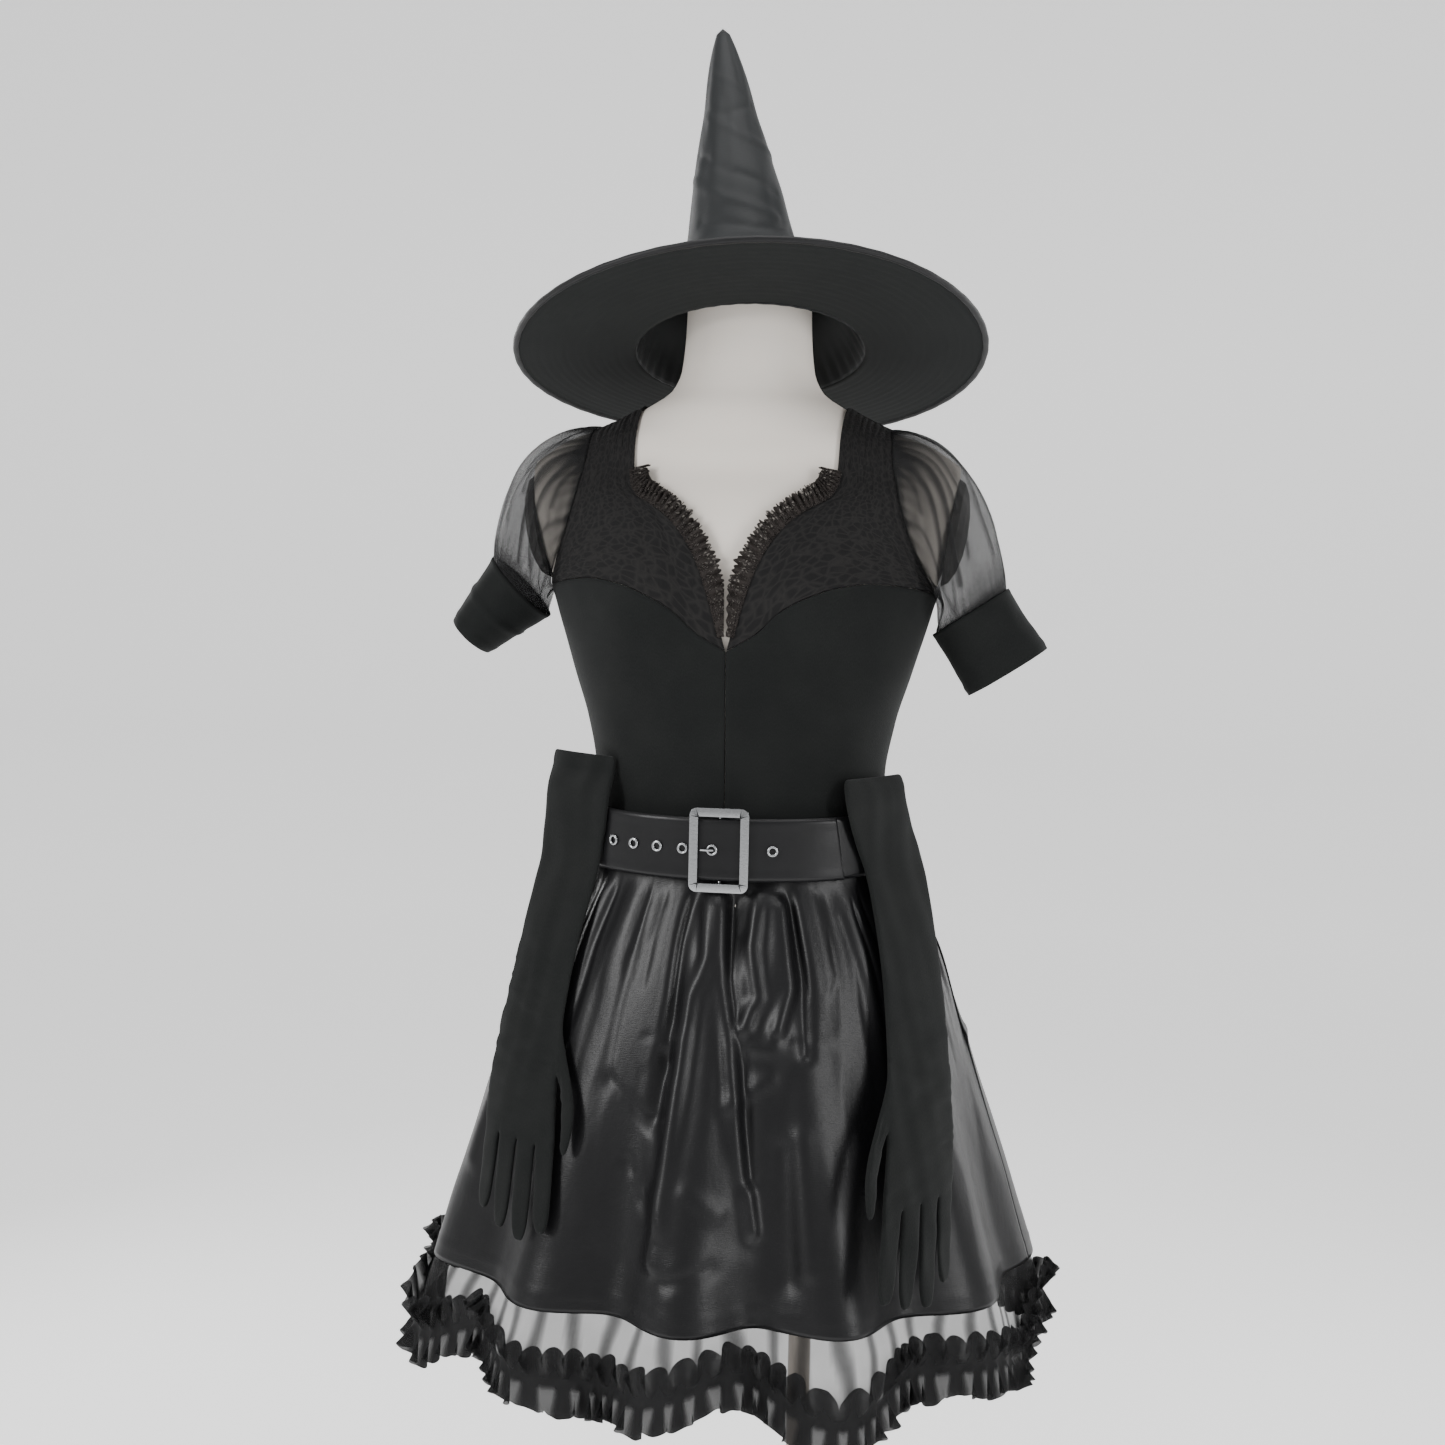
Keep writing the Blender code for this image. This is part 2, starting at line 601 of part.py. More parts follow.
def eyelets():
    for number, x in enumerate(EYELET_PLACES, 1):
        turn = math.degrees(math.asin(x / (BELT_HALF + belt_out(0))))
        point = belt_point(turn, 0)
        normal = (belt_point(turn + 1, 0) - belt_point(turn - 1, 0)).cross(
            belt_point(turn, 0.2) - belt_point(turn, -0.2)).normalized()
        made = bmesh.new()
        bmesh.ops.create_circle(made, segments=5, radius=EYELET_WIRE)
        bmesh.ops.rotate(made, verts=made.verts, matrix=Matrix.Rotation(math.pi / 2, 3, "X"))
        bmesh.ops.translate(made, verts=made.verts, vec=(EYELET_RADIUS, 0, 0))
        ring = made.verts[:] + made.edges[:]
        bmesh.ops.spin(made, geom=ring, cent=(0, 0, 0), axis=(0, 0, 1), angle=math.tau, steps=10,
                       use_duplicate=False)
        bmesh.ops.remove_doubles(made, verts=made.verts, dist=0.00005)
        bmesh.ops.recalc_face_normals(made, faces=made.faces)
        data = bpy.data.meshes.new("eyelet_%d" % number)
        made.to_mesh(data)
        made.free()
        data.shade_smooth()
        ring = place("eyelet_%d" % number, data, "silver")
        ring.rotation_mode = "QUATERNION"
        ring.rotation_quaternion = normal.to_track_quat("Z", "Y")
        ring.location = point + normal * (BELT_WALL + EYELET_WIRE + 0.0001)


def half_turns():
    """The columns of the front half and the back half of the skirt, parted at the side seams."""
    gap = math.degrees(SEAM / 2 / 0.13)
    return [(side, steps(start + gap, start + 180 - gap, SKIRT_COLUMNS // 2))
            for side, start in (("front", -90), ("back", 90))]


def skirt():
    for side, angles in half_turns():
        rows = [[skirt_point(a, z) for a in angles] for z in SKIRT_ROWS]
        sheet("skirt_" + side, rows, SATIN, "satin")


def ruffle_height(angle):
    turn = math.radians(angle)
    return RUFFLE_LINE + 0.010 * math.sin(8 * turn + 1.1) + 0.004 * math.sin(13 * turn)


def net_point(angle, z):
    inner = moved_out(skirt_point, angle, z, -(NET + SEAM + 0.0002))
    return Vector((inner.x, inner.y, z))


def hem_net():
    for side, angles in half_turns():
        edge = [net_point(a, ruffle_height(a)) for a in angles]
        sheet("net_" + side, [edge] + [[net_point(a, z) for a in angles] for z in NET_ROWS],
              NET, "net")
        ruffle("ruffle_" + side, edge)


def ruffle(name, edge):
    out, swing, wing = 0.0080, 0.0050, 0.019
    line = [edge[0].lerp(edge[1], 0.12)]
    for here, after in zip(edge, edge[1:]):
        line += [(here + after) / 2, after]
    line[-1] = edge[-1].lerp(edge[-2], 0.12)
    rows = [[], [], []]
    for i, point in enumerate(line):
        before, after = line[max(i - 1, 0)], line[min(i + 1, len(line) - 1)]
        away = (after - before).cross(Vector((0, 0, 1))).normalized()
        wave = 1 if i % 2 else -1
        rows[0].append(point + away * (out + swing * wave) + Vector((0, 0, -wing + 0.002 * wave)))
        rows[1].append(point + away * (NET + SEAM + 0.0003))
        rows[2].append(point + away * (out - swing * wave) + Vector((0, 0, wing - 0.002 * wave)))
    sheet(name, rows, NET, "net")


def hat_matrix():
    return (Matrix.Translation(BRIM_PLACE) @ Matrix.Rotation(math.radians(-HAT_ROLL), 4, "Y")
            @ Matrix.Rotation(math.radians(-HAT_BACK_TILT), 4, "X"))


def hat_ring(radius, along, columns, wobble=0.0):
    lean = Vector((-CROWN_LEAN * along, 0, along))
    points = []
    for c in range(columns):
        turn = math.tau * c / columns
        lift = wobble * math.sin(2 * turn + 0.7)
        points.append(hat_matrix() @ (lean + Vector((radius * math.sin(turn),
                                                     -radius * math.cos(turn), lift))))
    return points


def hat():
    brim_wall = 0.0020
    rings = [hat_ring(row.radius, row.along, 20) for row in CROWN]
    tip = hat_matrix() @ Vector((-CROWN_LEAN * CROWN_TIP, 0, CROWN_TIP))
    sheet("hat_crown", rings, CLOTH, "satin", around=True, tip=tip)
    inner = CROWN[0].radius + CLOTH + SEAM + 0.0006
    outer = BRIM_RADIUS - 2 * BINDING_RADIUS - 0.0006
    brim = [hat_ring(radius, 0.0, 44, 0.004 * (radius / BRIM_RADIUS) ** 2)
            for radius in steps(outer, inner, 3)]
    sheet("hat_brim", brim, brim_wall, "felt", around=True)
    binding()


def binding():
    """The bound wire edge of the brim, six-sided, through the brim's own edge points."""
    count, sides = 44, 6
    middle = hat_ring(BRIM_RADIUS - BINDING_RADIUS, 0.0, count, 0.004)
    axis = hat_matrix().to_3x3() @ Vector((0, 0, 1))
    points, faces = [], []
    for i, point in enumerate(middle):
        away = (middle[(i + 1) % count] - middle[i - 1]).cross(axis).normalized()
        for k in range(sides):
            turn = math.tau * k / sides
            points.append(point + axis * 0.001 + BINDING_RADIUS * (away * math.cos(turn)
                                                                   + axis * math.sin(turn)))
    for i in range(count):
        n = (i + 1) % count
        for k in range(sides):
            m = (k + 1) % sides
            faces.append((i * sides + k, n * sides + k, n * sides + m, i * sides + m))
    data = bpy.data.meshes.new("hat_binding")
    data.from_pydata([tuple(p) for p in points], [], faces)
    data.shade_smooth()
    place("hat_binding", data, "satin")


def outermost(direction, z):
    """The furthest reach of the dress and belt in a level direction, near one height."""
    best = 0.0
    for near in (z - 0.012, z, z + 0.008):
        for angle in range(-90, 91, 5):
            points = [skirt_point(angle, near)] if near < WAIST_SEAM else [dress_point(angle, near)]
            if abs(near - BELT_MIDDLE) < BELT_WIDTH * 0.8:
                points.append(belt_point(angle if angle < 44 else angle - 360, 0)
                              + Vector((0, 0, near - BELT_MIDDLE)))
            best = max([best] + [p.x * direction.x + p.y * direction.y for p in points])
    return best


def glove(name, table, facing, sign, clearance, columns=8):
    turn = math.radians(facing)
    face = Vector((sign * math.sin(turn), -math.cos(turn), 0))
    across = Vector((math.cos(turn), sign * math.sin(turn), 0))
    heights = steps(table[0].z, table[-1].z, 11)
    table = list(reversed(table))

    def spot(z, middle, offset):
        reach = outermost(face, z) + clearance
        slide = (sign * middle - face.x * reach) / across.x
        sag = face * (3.0 * max(sign * offset, 0.0) ** 2)
        return face * reach + across * (slide + offset) - sag + Vector((0, 0, z))

    points, faces = [], []
    rows = [Glove(z, read(table, z, "middle"), read(table, z, "half_width")) for z in heights]
    for row in rows:
        for c in range(columns + 1):
            points.append(spot(row.z, row.middle, row.half_width * (2 * c / columns - 1)))
    for r in range(len(heights) - 1):
        for c in range(columns):
            high, low = r * (columns + 1) + c, (r + 1) * (columns + 1) + c
            faces.append((low, low + 1, high + 1, high))
    add_fingers(points, faces, rows[-1], spot, columns)
    add_thumb(points, faces, rows, spot, columns, sign)
    wall_on_faces(name, points, faces, GLOVE_WALL, "jersey")


def add_fingers(points, faces, knuckle, spot, columns):
    root = len(points) - columns - 1
    pitch = 2 * knuckle.half_width / 4
    for finger, length in enumerate(FINGER_LENGTHS):
        first = root + 2 * finger
        last_row = (first, first + 1, first + 2)
        middle = -knuckle.half_width + pitch * (finger + 0.5)
        for share, width in ((0.35, 0.5), (0.75, 0.46), (0.93, 0.36), (1.0, 0.16)):
            z = knuckle.z - length * share
            reach = pitch * width - FINGER_SLIT / 2
            spread = middle * (1 + 0.10 * share)
            here = len(points)
            points.extend(spot(z, knuckle.middle, spread + reach * k) for k in (-1, 0, 1))
            for k in (0, 1):
                faces.append((here + k, here + k + 1, last_row[k + 1], last_row[k]))
            last_row = (here, here + 1, here + 2)


def add_thumb(points, faces, table, spot, columns, sign):
    """The thumb folds down beside the hand, on the side towards the middle of the skirt."""
    high, low = len(table) - 4, len(table) - 3
    side = 0 if sign > 0 else columns
    top, foot = high * (columns + 1) + side, low * (columns + 1) + side
    out = -1 if sign > 0 else 1
    edge = table[low]
    rows = ((0.012, 0.006, 0.020), (0.030, 0.010, 0.023), (0.048, 0.011, 0.020), (0.056, 0.013, 0.016))
    last_row = (top, foot)
    for drop, near, far in rows:
        here = len(points)
        z = edge.z - drop
        points.append(spot(z, edge.middle, out * (edge.half_width + far)))
        points.append(spot(z, edge.middle, out * (edge.half_width + near)))
        quad = (here, here + 1, last_row[1], last_row[0])
        faces.append(quad if out < 0 else tuple(reversed(quad)))
        last_row = (here, here + 1)


def main():
    clear_scene()
    collection = bpy.data.collections.get(COLLECTION) or bpy.data.collections.new(COLLECTION)
    if collection.name not in bpy.context.scene.collection.children:
        bpy.context.scene.collection.children.link(collection)
    torso()
    arm_plates()
    stand()
    bodice()
    cups()
    back_straps()
    lace()
    sleeves()
    belt()
    buckle()
    eyelets()
    skirt()
    hem_net()
    hat()
    glove("glove_l", GLOVE_LEFT, 52, 1, 0.0031)
    glove("glove_r", GLOVE_RIGHT, 34, -1, 0.0020)


main()
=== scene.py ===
import math

import bpy
import numpy as np
from mathutils import Matrix, Vector, noise


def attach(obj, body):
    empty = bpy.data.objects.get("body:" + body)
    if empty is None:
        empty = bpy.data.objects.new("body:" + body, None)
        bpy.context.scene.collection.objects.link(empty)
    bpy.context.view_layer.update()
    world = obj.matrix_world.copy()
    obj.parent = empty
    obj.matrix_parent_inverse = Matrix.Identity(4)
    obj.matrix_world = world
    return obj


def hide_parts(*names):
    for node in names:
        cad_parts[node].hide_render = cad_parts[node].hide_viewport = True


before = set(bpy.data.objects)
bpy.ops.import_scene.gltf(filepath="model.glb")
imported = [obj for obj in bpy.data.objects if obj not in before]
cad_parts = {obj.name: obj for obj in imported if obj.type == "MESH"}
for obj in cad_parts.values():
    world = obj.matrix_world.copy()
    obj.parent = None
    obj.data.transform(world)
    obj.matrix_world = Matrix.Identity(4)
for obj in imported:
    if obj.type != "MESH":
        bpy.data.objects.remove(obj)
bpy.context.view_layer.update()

# Witch costume on a dress form, in metres. The front faces -Y and the wearer's left is +X.
# Angles run round the body: 0 is the front, 90 the wearer's left, 180 the back.

wall = {"cloth": 0.0012, "net": 0.0010, "belt": 0.0018, "brim": 0.0020, "glove": 0.0026, "seam": 0.0003}

# z, half width, depth in front, depth behind
bodyRows = [
    (0.820, 0.150, 0.100, 0.108), (0.880, 0.158, 0.104, 0.116), (0.940, 0.141, 0.097, 0.101),
    (0.971, 0.127, 0.090, 0.087), (1.000, 0.119, 0.086, 0.078), (1.047, 0.115, 0.084, 0.073),
    (1.090, 0.122, 0.088, 0.076), (1.130, 0.134, 0.093, 0.083), (1.170, 0.146, 0.094, 0.088),
    (1.200, 0.155, 0.094, 0.092), (1.240, 0.172, 0.091, 0.095), (1.265, 0.180, 0.083, 0.093),
    (1.290, 0.1745, 0.071, 0.084), (1.302, 0.160, 0.0695, 0.080), (1.3125, 0.1425, 0.0665, 0.0765),
    (1.3195, 0.118, 0.0650, 0.0735), (1.3375, 0.081, 0.0590, 0.066), (1.352, 0.060, 0.0520, 0.057),
    (1.368, 0.053, 0.0490, 0.052), (1.400, 0.050, 0.0480, 0.050), (1.4375, 0.049, 0.0475, 0.049)]
skirtRows = [
    (0.580, 0.262, 0.216, 0.224), (0.654, 0.240, 0.194, 0.202), (0.720, 0.221, 0.177, 0.185),
    (0.790, 0.201, 0.157, 0.163), (0.870, 0.177, 0.132, 0.136), (0.910, 0.162, 0.1185, 0.121),
    (0.945, 0.1435, 0.1035, 0.104), (0.971, 0.1290, 0.0922, 0.0892), (1.000, 0.1212, 0.0882, 0.0802)]
# angle, z
underBust = [(0, 1.149), (9.5, 1.163), (16.5, 1.180), (23.5, 1.190), (32, 1.198), (44, 1.202),
             (64, 1.199), (90, 1.1925)]
backTop = [(0, 1.238), (44, 1.2415), (50.4, 1.240), (57, 1.225), (66, 1.210), (77, 1.199), (90, 1.1925)]
# share of the way up, neckline x and z, armhole x and z
cupRows = [
    (0.00, 0.0008, 1.1495, 0.1525, 1.1925), (0.10, 0.0105, 1.1850, 0.1508, 1.1990),
    (0.20, 0.0200, 1.2130, 0.1455, 1.2100), (0.30, 0.0310, 1.2340, 0.1385, 1.2250),
    (0.40, 0.0450, 1.2500, 0.1325, 1.2400), (0.50, 0.0600, 1.2605, 0.1285, 1.2540),
    (0.60, 0.0725, 1.2680, 0.1255, 1.2660), (0.70, 0.0780, 1.2800, 0.1235, 1.2775),
    (0.80, 0.0790, 1.2980, 0.1210, 1.2900), (0.85, 0.0792, 1.3090, 0.1202, 1.2978),
    (0.90, 0.0795, 1.3200, 0.1195, 1.3050), (0.925, 0.0797, 1.3262, 0.1191, 1.3100),
    (0.95, 0.0800, 1.3320, 0.1187, 1.3145), (0.98, 0.0804, 1.3365, 0.1182, 1.3185),
    (1.00, 0.0808, 1.3375, 0.1180, 1.3195)]


def read(rows, at, column):
    # smooth between the rows of a table, and never past them
    keys = [row[0] for row in rows]
    values = [row[column] for row in rows]
    at = min(max(at, keys[0]), keys[-1])
    last = len(keys) - 2
    k = next((i for i in range(last + 1) if at <= keys[i + 1]), last)

    def rise(i):
        return (values[i + 1] - values[i]) / (keys[i + 1] - keys[i])

    def slope(i):
        if i == 0 or i == last + 1:
            return rise(min(i, last))
        before, after = rise(i - 1), rise(i)
        return 0.0 if before * after <= 0 else 2 * before * after / (before + after)

    step = keys[k + 1] - keys[k]
    t = (at - keys[k]) / step
    return ((2 * t**3 - 3 * t**2 + 1) * values[k] + (t**3 - 2 * t**2 + t) * step * slope(k)
            + (3 * t**2 - 2 * t**3) * values[k + 1] + (t**3 - t**2) * step * slope(k + 1))


def mix(start, end, share):
    return start + (end - start) * share


def ramp(value, low, high):
    share = min(max((value - low) / (high - low), 0.0), 1.0)
    return share * share * (3 - 2 * share)


def steps(start, end, count):
    return [mix(start, end, i / count) for i in range(count + 1)]


def hump(value, middle, width):
    return math.exp(-((value - middle) / width) ** 2)


def ovalPoint(rows, angle, z):
    turn = math.radians(angle)
    depth = read(rows, z, 2 if math.cos(turn) > 0 else 3)
    return Vector((read(rows, z, 1) * math.sin(turn), -depth * math.cos(turn), z))


def bodyPoint(angle, z, bust=0.022):
    point = ovalPoint(bodyRows, angle, z)
    away = ((abs(point.x) - 0.072) / 0.045) ** 2 + ((z - 1.182) / 0.045) ** 2
    point.y -= bust * math.exp(-away) * math.sqrt(max(math.cos(math.radians(angle)), 0.0))
    widest = mix(0.157, 0.171, (z - 1.197) / (1.290 - 1.197))
    point.x = min(max(point.x, -widest), widest)
    return point


def movedOut(surface, angle, z, out):
    across = surface(angle + 0.4, z) - surface(angle - 0.4, z)
    upward = surface(angle, z + 0.0004) - surface(angle, z - 0.0004)
    return surface(angle, z) + across.cross(upward).normalized() * out


def dressPoint(angle, z, out=0.0):
    return movedOut(bodyPoint, angle, z, mix(0.0020, 0.0014, ramp(z, 1.255, 1.310)) + out)


def dressAt(x, z, out=0.0, behind=False):
    reach = min(max(x / read(bodyRows, z, 1), -1.0), 1.0)
    front = math.degrees(math.asin(reach))
    return dressPoint(180 - front if behind else front, z, out)


def skirtPoint(angle, z):
    turn = math.radians(angle)
    point = ovalPoint(skirtRows, angle, z)
    gathered = 0.0024 * ramp(z, 0.972, 0.952) * ramp(z, 0.850, 0.940)
    gather = gathered * math.cos(24 * turn) * (0.75 + 0.25 * math.sin(5 * turn))
    swing = math.cos(11 * turn + 0.6 + 0.8 * math.sin(2 * turn)) * (0.8 + 0.2 * math.sin(3 * turn + 1))
    flute = 0.0150 * ramp(z, 0.900, 0.640) * swing
    return point + Vector((point.x, point.y, 0)).normalized() * (gather + flute)


def soft(x, y, z=0.0):
    # plain smooth noise from -1 to 1
    return noise.noise(Vector((x, y, z)))


# Meshes

def gridNormals(grid, around):
    if around:
        across = np.roll(grid, -1, axis=1) - np.roll(grid, 1, axis=1)
    else:
        across = np.gradient(grid, axis=1)
    normals = np.cross(across, np.gradient(grid, axis=0))
    return normals / np.maximum(np.linalg.norm(normals, axis=2, keepdims=True), 1e-9)


def pushed(grid, amounts, around=False):
    # moves each point of a grid along its own outward normal
    return grid + gridNormals(grid, around) * np.asarray(amounts)[:, :, None]


def gridOf(surface, columns, rows):
    return np.array([[surface(c, r)[:] for c in columns] for r in rows], float)


def addMesh(name, points, faces, uvs=None, smooth=True):
    mesh = bpy.data.meshes.new(name)
    mesh.from_pydata([tuple(p) for p in points], [], faces)
    if uvs is not None:
        layer = mesh.uv_layers.new(name="UVMap")
        flat = np.array([uvs[v] for face in faces for v in face], np.float32)
        layer.data.foreach_set("uv", flat.ravel())
    mesh.validate()
    if smooth:
        mesh.shade_smooth()
    made = bpy.data.objects.new(name, mesh)
    bpy.context.scene.collection.objects.link(made)
    return made


def clothGrid(name, grid, thickness, around=False, tip=None, marks=None):
    # rows run up, columns run to the right of the outer face; the wall grows outwards
    rows, columns = grid.shape[:2]
    points = grid.reshape(-1, 3)
    along = np.linalg.norm(np.diff(grid, axis=0), axis=2).mean(axis=1)
    across = np.linalg.norm(np.diff(grid, axis=1), axis=2).mean(axis=0)
    v = np.concatenate([[0], np.cumsum(along)])
    u = np.concatenate([[0], np.cumsum(across)])
    uvs = [(u[c], v[r]) for r in range(rows) for c in range(columns)]
    faces = []
    for r in range(rows - 1):
        for c in range(columns if around else columns - 1):
            n = (c + 1) % columns
            faces.append((r * columns + c, r * columns + n, (r + 1) * columns + n, (r + 1) * columns + c))
    if tip is not None:
        points = np.vstack([points, np.array(tip)[None, :]])
        uvs.append((u[-1] / 2, v[-1]))
        top = (rows - 1) * columns
        faces += [(top + c, top + (c + 1) % columns, len(points) - 1) for c in range(columns)]
    made = addMesh(name, points, faces, uvs)
    if marks is not None:
        # per-point net opacity stored as 'gather'; on the sleeves and the ruffle it includes painted shade in the fold
        # troughs
        layer = made.data.attributes.new("gather", "FLOAT", "POINT")
        values = list(np.asarray(marks, float).ravel()) + [0.0] * (len(points) - rows * columns)
        layer.data.foreach_set("value", values)
    solid = made.modifiers.new("wall", "SOLIDIFY")
    solid.thickness = thickness
    solid.offset = 1.0
    return made


def loft(name, grid):
    # a closed solid through rings that run up
    rows, columns = grid.shape[:2]
    faces = [(r * columns + c, r * columns + (c + 1) % columns, (r + 1) * columns + (c + 1) % columns,
              (r + 1) * columns + c) for r in range(rows - 1) for c in range(columns)]
    faces.append(tuple(reversed(range(columns))))
    faces.append(tuple(range((rows - 1) * columns, rows * columns)))
    return addMesh(name, grid.reshape(-1, 3), faces)


def finished(piece, nodes, material):
    piece.data.materials.clear()
    piece.data.materials.append(material)
    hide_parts(*([nodes] if isinstance(nodes, str) else nodes))
    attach(piece, "root")
    return piece


def mirroredGrid(grid):
    turned = grid[:, ::-1].copy()
    turned[:, :, 0] *= -1
    return turned


def creaseField(across, up, lines):
    # soft ridges (height above 0) and troughs (below 0) along given lines
    total = np.zeros(across.shape)
    for height, width, *path in lines:
        best = np.full(across.shape, 1e9)
        for (ax, az), (bx, bz) in zip(path, path[1:]):
            dx, dz = bx - ax, bz - az
            t = np.clip(((across - ax) * dx + (up - az) * dz) / (dx * dx + dz * dz), 0, 1)
            best = np.minimum(best, (across - ax - t * dx) ** 2 + (up - az - t * dz) ** 2)
        total += height * np.exp(-best / width**2)
    return total


# Materials

class Wire:
    # one socket of a material; arithmetic on it adds Math nodes
    def __init__(self, tree, socket):
        self.tree, self.socket = tree, socket

    def math(self, kind, *others):
        node = self.tree.nodes.new("ShaderNodeMath")
        node.operation = kind
        for slot, value in zip(node.inputs, (self, *others)):
            plug(self.tree, slot, value)
        return Wire(self.tree, node.outputs[0])

    def __add__(self, other):
        return self.math("ADD", other)

    def __sub__(self, other):
        return self.math("SUBTRACT", other)

    def __mul__(self, other):
        return self.math("MULTIPLY", other)

    def __rsub__(self, other):
        return self.math("MULTIPLY", -1.0) + other

    __radd__ = __add__
    __rmul__ = __mul__


def plug(tree, slot, value):
    if isinstance(value, Wire):
        tree.links.new(value.socket, slot)
    else:
        slot.default_value = value


class Coat:
    def __init__(self, name, color, rough, metallic=0.0, **constants):
        self.material = bpy.data.materials.new(name)
        self.material.use_nodes = True
        self.tree = self.material.node_tree
        self.shader = self.tree.nodes["Principled BSDF"]
        self.put("Base Color", (*color, 1.0))
        self.put("Roughness", rough)
        self.put("Metallic", metallic)
        for key, value in constants.items():
            self.put(key.replace("_", " "), value)

    def put(self, name, value):
        plug(self.tree, self.shader.inputs[name], value)

    def node(self, kind, settings=None, sockets=None, out=0):
        made = self.tree.nodes.new(kind)
        for key, value in (settings or {}).items():
            setattr(made, key, value)
        for key, value in (sockets or {}).items():
            plug(self.tree, made.inputs[key], value)
        return Wire(self.tree, made.outputs[out])

    def place(self):
        return self.node("ShaderNodeTexCoord", out="Object")

    def uv(self):
        return self.node("ShaderNodeTexCoord", out="UV")

    def stretched(self, vector, scale):
        return self.node("ShaderNodeVectorMath", {"operation": "MULTIPLY"}, {0: vector, 1: scale})

    def clouds(self, vector, scale, detail=3.0, rough=0.5):
        return self.node("ShaderNodeTexNoise", None,
                         {"Vector": vector, "Scale": scale, "Detail": detail, "Roughness": rough})

    def span(self, value, low, high, fromLow=0.0, fromHigh=1.0):
        return self.node("ShaderNodeMapRange", None, {"Value": value, "From Min": fromLow,
                         "From Max": fromHigh, "To Min": low, "To Max": high})

    def shades(self, factor, dark, light):
        made = self.tree.nodes.new("ShaderNodeMix")
        made.data_type = "RGBA"
        plug(self.tree, made.inputs[0], factor)
        made.inputs[6].default_value = (*dark, 1.0)
        made.inputs[7].default_value = (*light, 1.0)
        self.put("Base Color", Wire(self.tree, made.outputs[2]))

    def bump(self, height, strength, distance=0.001):
        self.put("Normal", self.node("ShaderNodeBump", None, {"Height": height, "Strength": strength,
                                                               "Distance": distance}))


looks = {
    "jersey": ((0.007, 0.008, 0.008), (0.013, 0.014, 0.0135)),
    "satin": ((0.004, 0.004, 0.0045), (0.008, 0.008, 0.009)),
    "satinRough": 0.34,
    "crown": ((0.006, 0.007, 0.008), (0.010, 0.012, 0.013)),
    "felt": ((0.012, 0.013, 0.013), (0.020, 0.0215, 0.021)),
    "netAlpha": 0.42,
    "sleeveAlpha": 0.36,
    "silver": (0.46, 0.47, 0.48),
}


def jerseyMaterial(name, ridges=0.35):
    coat = Coat(name, (0.015, 0.015, 0.016), 0.9, Specular_IOR_Level=0.12, Sheen_Weight=0.05,
                Sheen_Roughness=0.5)
    rib = coat.clouds(coat.stretched(coat.uv(), (1400, 500, 1)), 1.0, 2.0)
    cloud = coat.clouds(coat.place(), 24.0, 4.0)
    coat.shades(coat.span(rib * 0.5 + cloud * 0.5, 0.0, 1.0, 0.3, 0.7), *looks["jersey"])
    coat.bump(rib * 0.5 + cloud * 0.5, ridges, 0.0012)
    return coat.material


def satinMaterial(name, colors, rough, crumple=0.24):
    coat = Coat(name, colors[0], rough, Specular_IOR_Level=0.33, Anisotropic=0.3)
    place = coat.place()
    folds = coat.clouds(coat.stretched(place, (1.0, 1.0, 0.45)), 38.0, 4.0, 0.55)
    slubs = coat.clouds(coat.stretched(coat.uv(), (160, 1500, 1)), 1.0, 2.0)
    coat.shades(folds, *colors)
    coat.put("Roughness", coat.span(slubs * 0.6 + folds * 0.4, rough - 0.06, rough + 0.10))
    coat.bump(folds * 0.85 + slubs * 0.15, crumple, 0.0030)
    return coat.material


def feltMaterial():
    coat = Coat("brim felt", (0.03, 0.03, 0.03), 0.88, Specular_IOR_Level=0.15)
    fuzz = coat.clouds(coat.place(), 900.0, 3.0)
    cloud = coat.clouds(coat.place(), 14.0, 3.0)
    coat.shades(fuzz * 0.4 + cloud * 0.6, *looks["felt"])
    coat.bump(fuzz * 0.6 + cloud * 0.4, 0.30, 0.0010)
    return coat.material


def netMaterial(name, thinnest):
    coat = Coat(name, (0.012, 0.012, 0.0125), 0.7, Specular_IOR_Level=0.15)
    cloud = coat.clouds(coat.place(), 30.0, 3.0)
    # the 'gather' attribute is the net's opacity per point: denser where gathered or folded, and on the sleeves and the
    # ruffle also painted shade in the fold troughs
    gather = coat.node("ShaderNodeAttribute", {"attribute_name": "gather"}, out="Fac")
    coat.put("Alpha", (cloud * 0.12 + gather * 0.6 + (thinnest - 0.06)).math("MINIMUM", 0.96))
    return coat.material


def laceMaterial():
    coat = Coat("gathered lace", (0.045, 0.034, 0.028), 0.75, Specular_IOR_Level=0.3)
    cells = coat.node("ShaderNodeTexVoronoi", {"feature": "DISTANCE_TO_EDGE"},
                      {"Vector": coat.uv(), "Scale": 330.0})
    motif = coat.clouds(coat.uv(), 120.0, 2.0)
    solid = coat.span(cells, 1.0, 0.0, 0.05, 0.28).math("MAXIMUM", coat.span(motif, 0.0, 1.0, 0.52, 0.60))
    coat.shades(motif, (0.010, 0.008, 0.0075), (0.026, 0.020, 0.017))
    coat.put("Alpha", solid * 0.62 + 0.33)
    coat.bump(solid, 0.4)
    return coat.material


def crinkleMaterial():
    coat = Coat("crinkled lace cloth", (0.015, 0.015, 0.016), 0.82, Specular_IOR_Level=0.18)
    crush = coat.clouds(coat.stretched(coat.uv(), (260, 70, 1)), 1.0, 4.0, 0.6)
    cells = coat.node("ShaderNodeTexVoronoi", {"feature": "DISTANCE_TO_EDGE"},
                      {"Vector": coat.uv(), "Scale": 190.0})
    pattern = coat.span(cells, 1.0, 0.0, 0.02, 0.20)
    coat.shades(pattern * 0.6 + crush * 0.4, (0.006, 0.006, 0.0065), (0.019, 0.018, 0.0175))
    coat.bump(crush * 0.7 + pattern * 0.3, 0.55, 0.0016)
    return coat.material


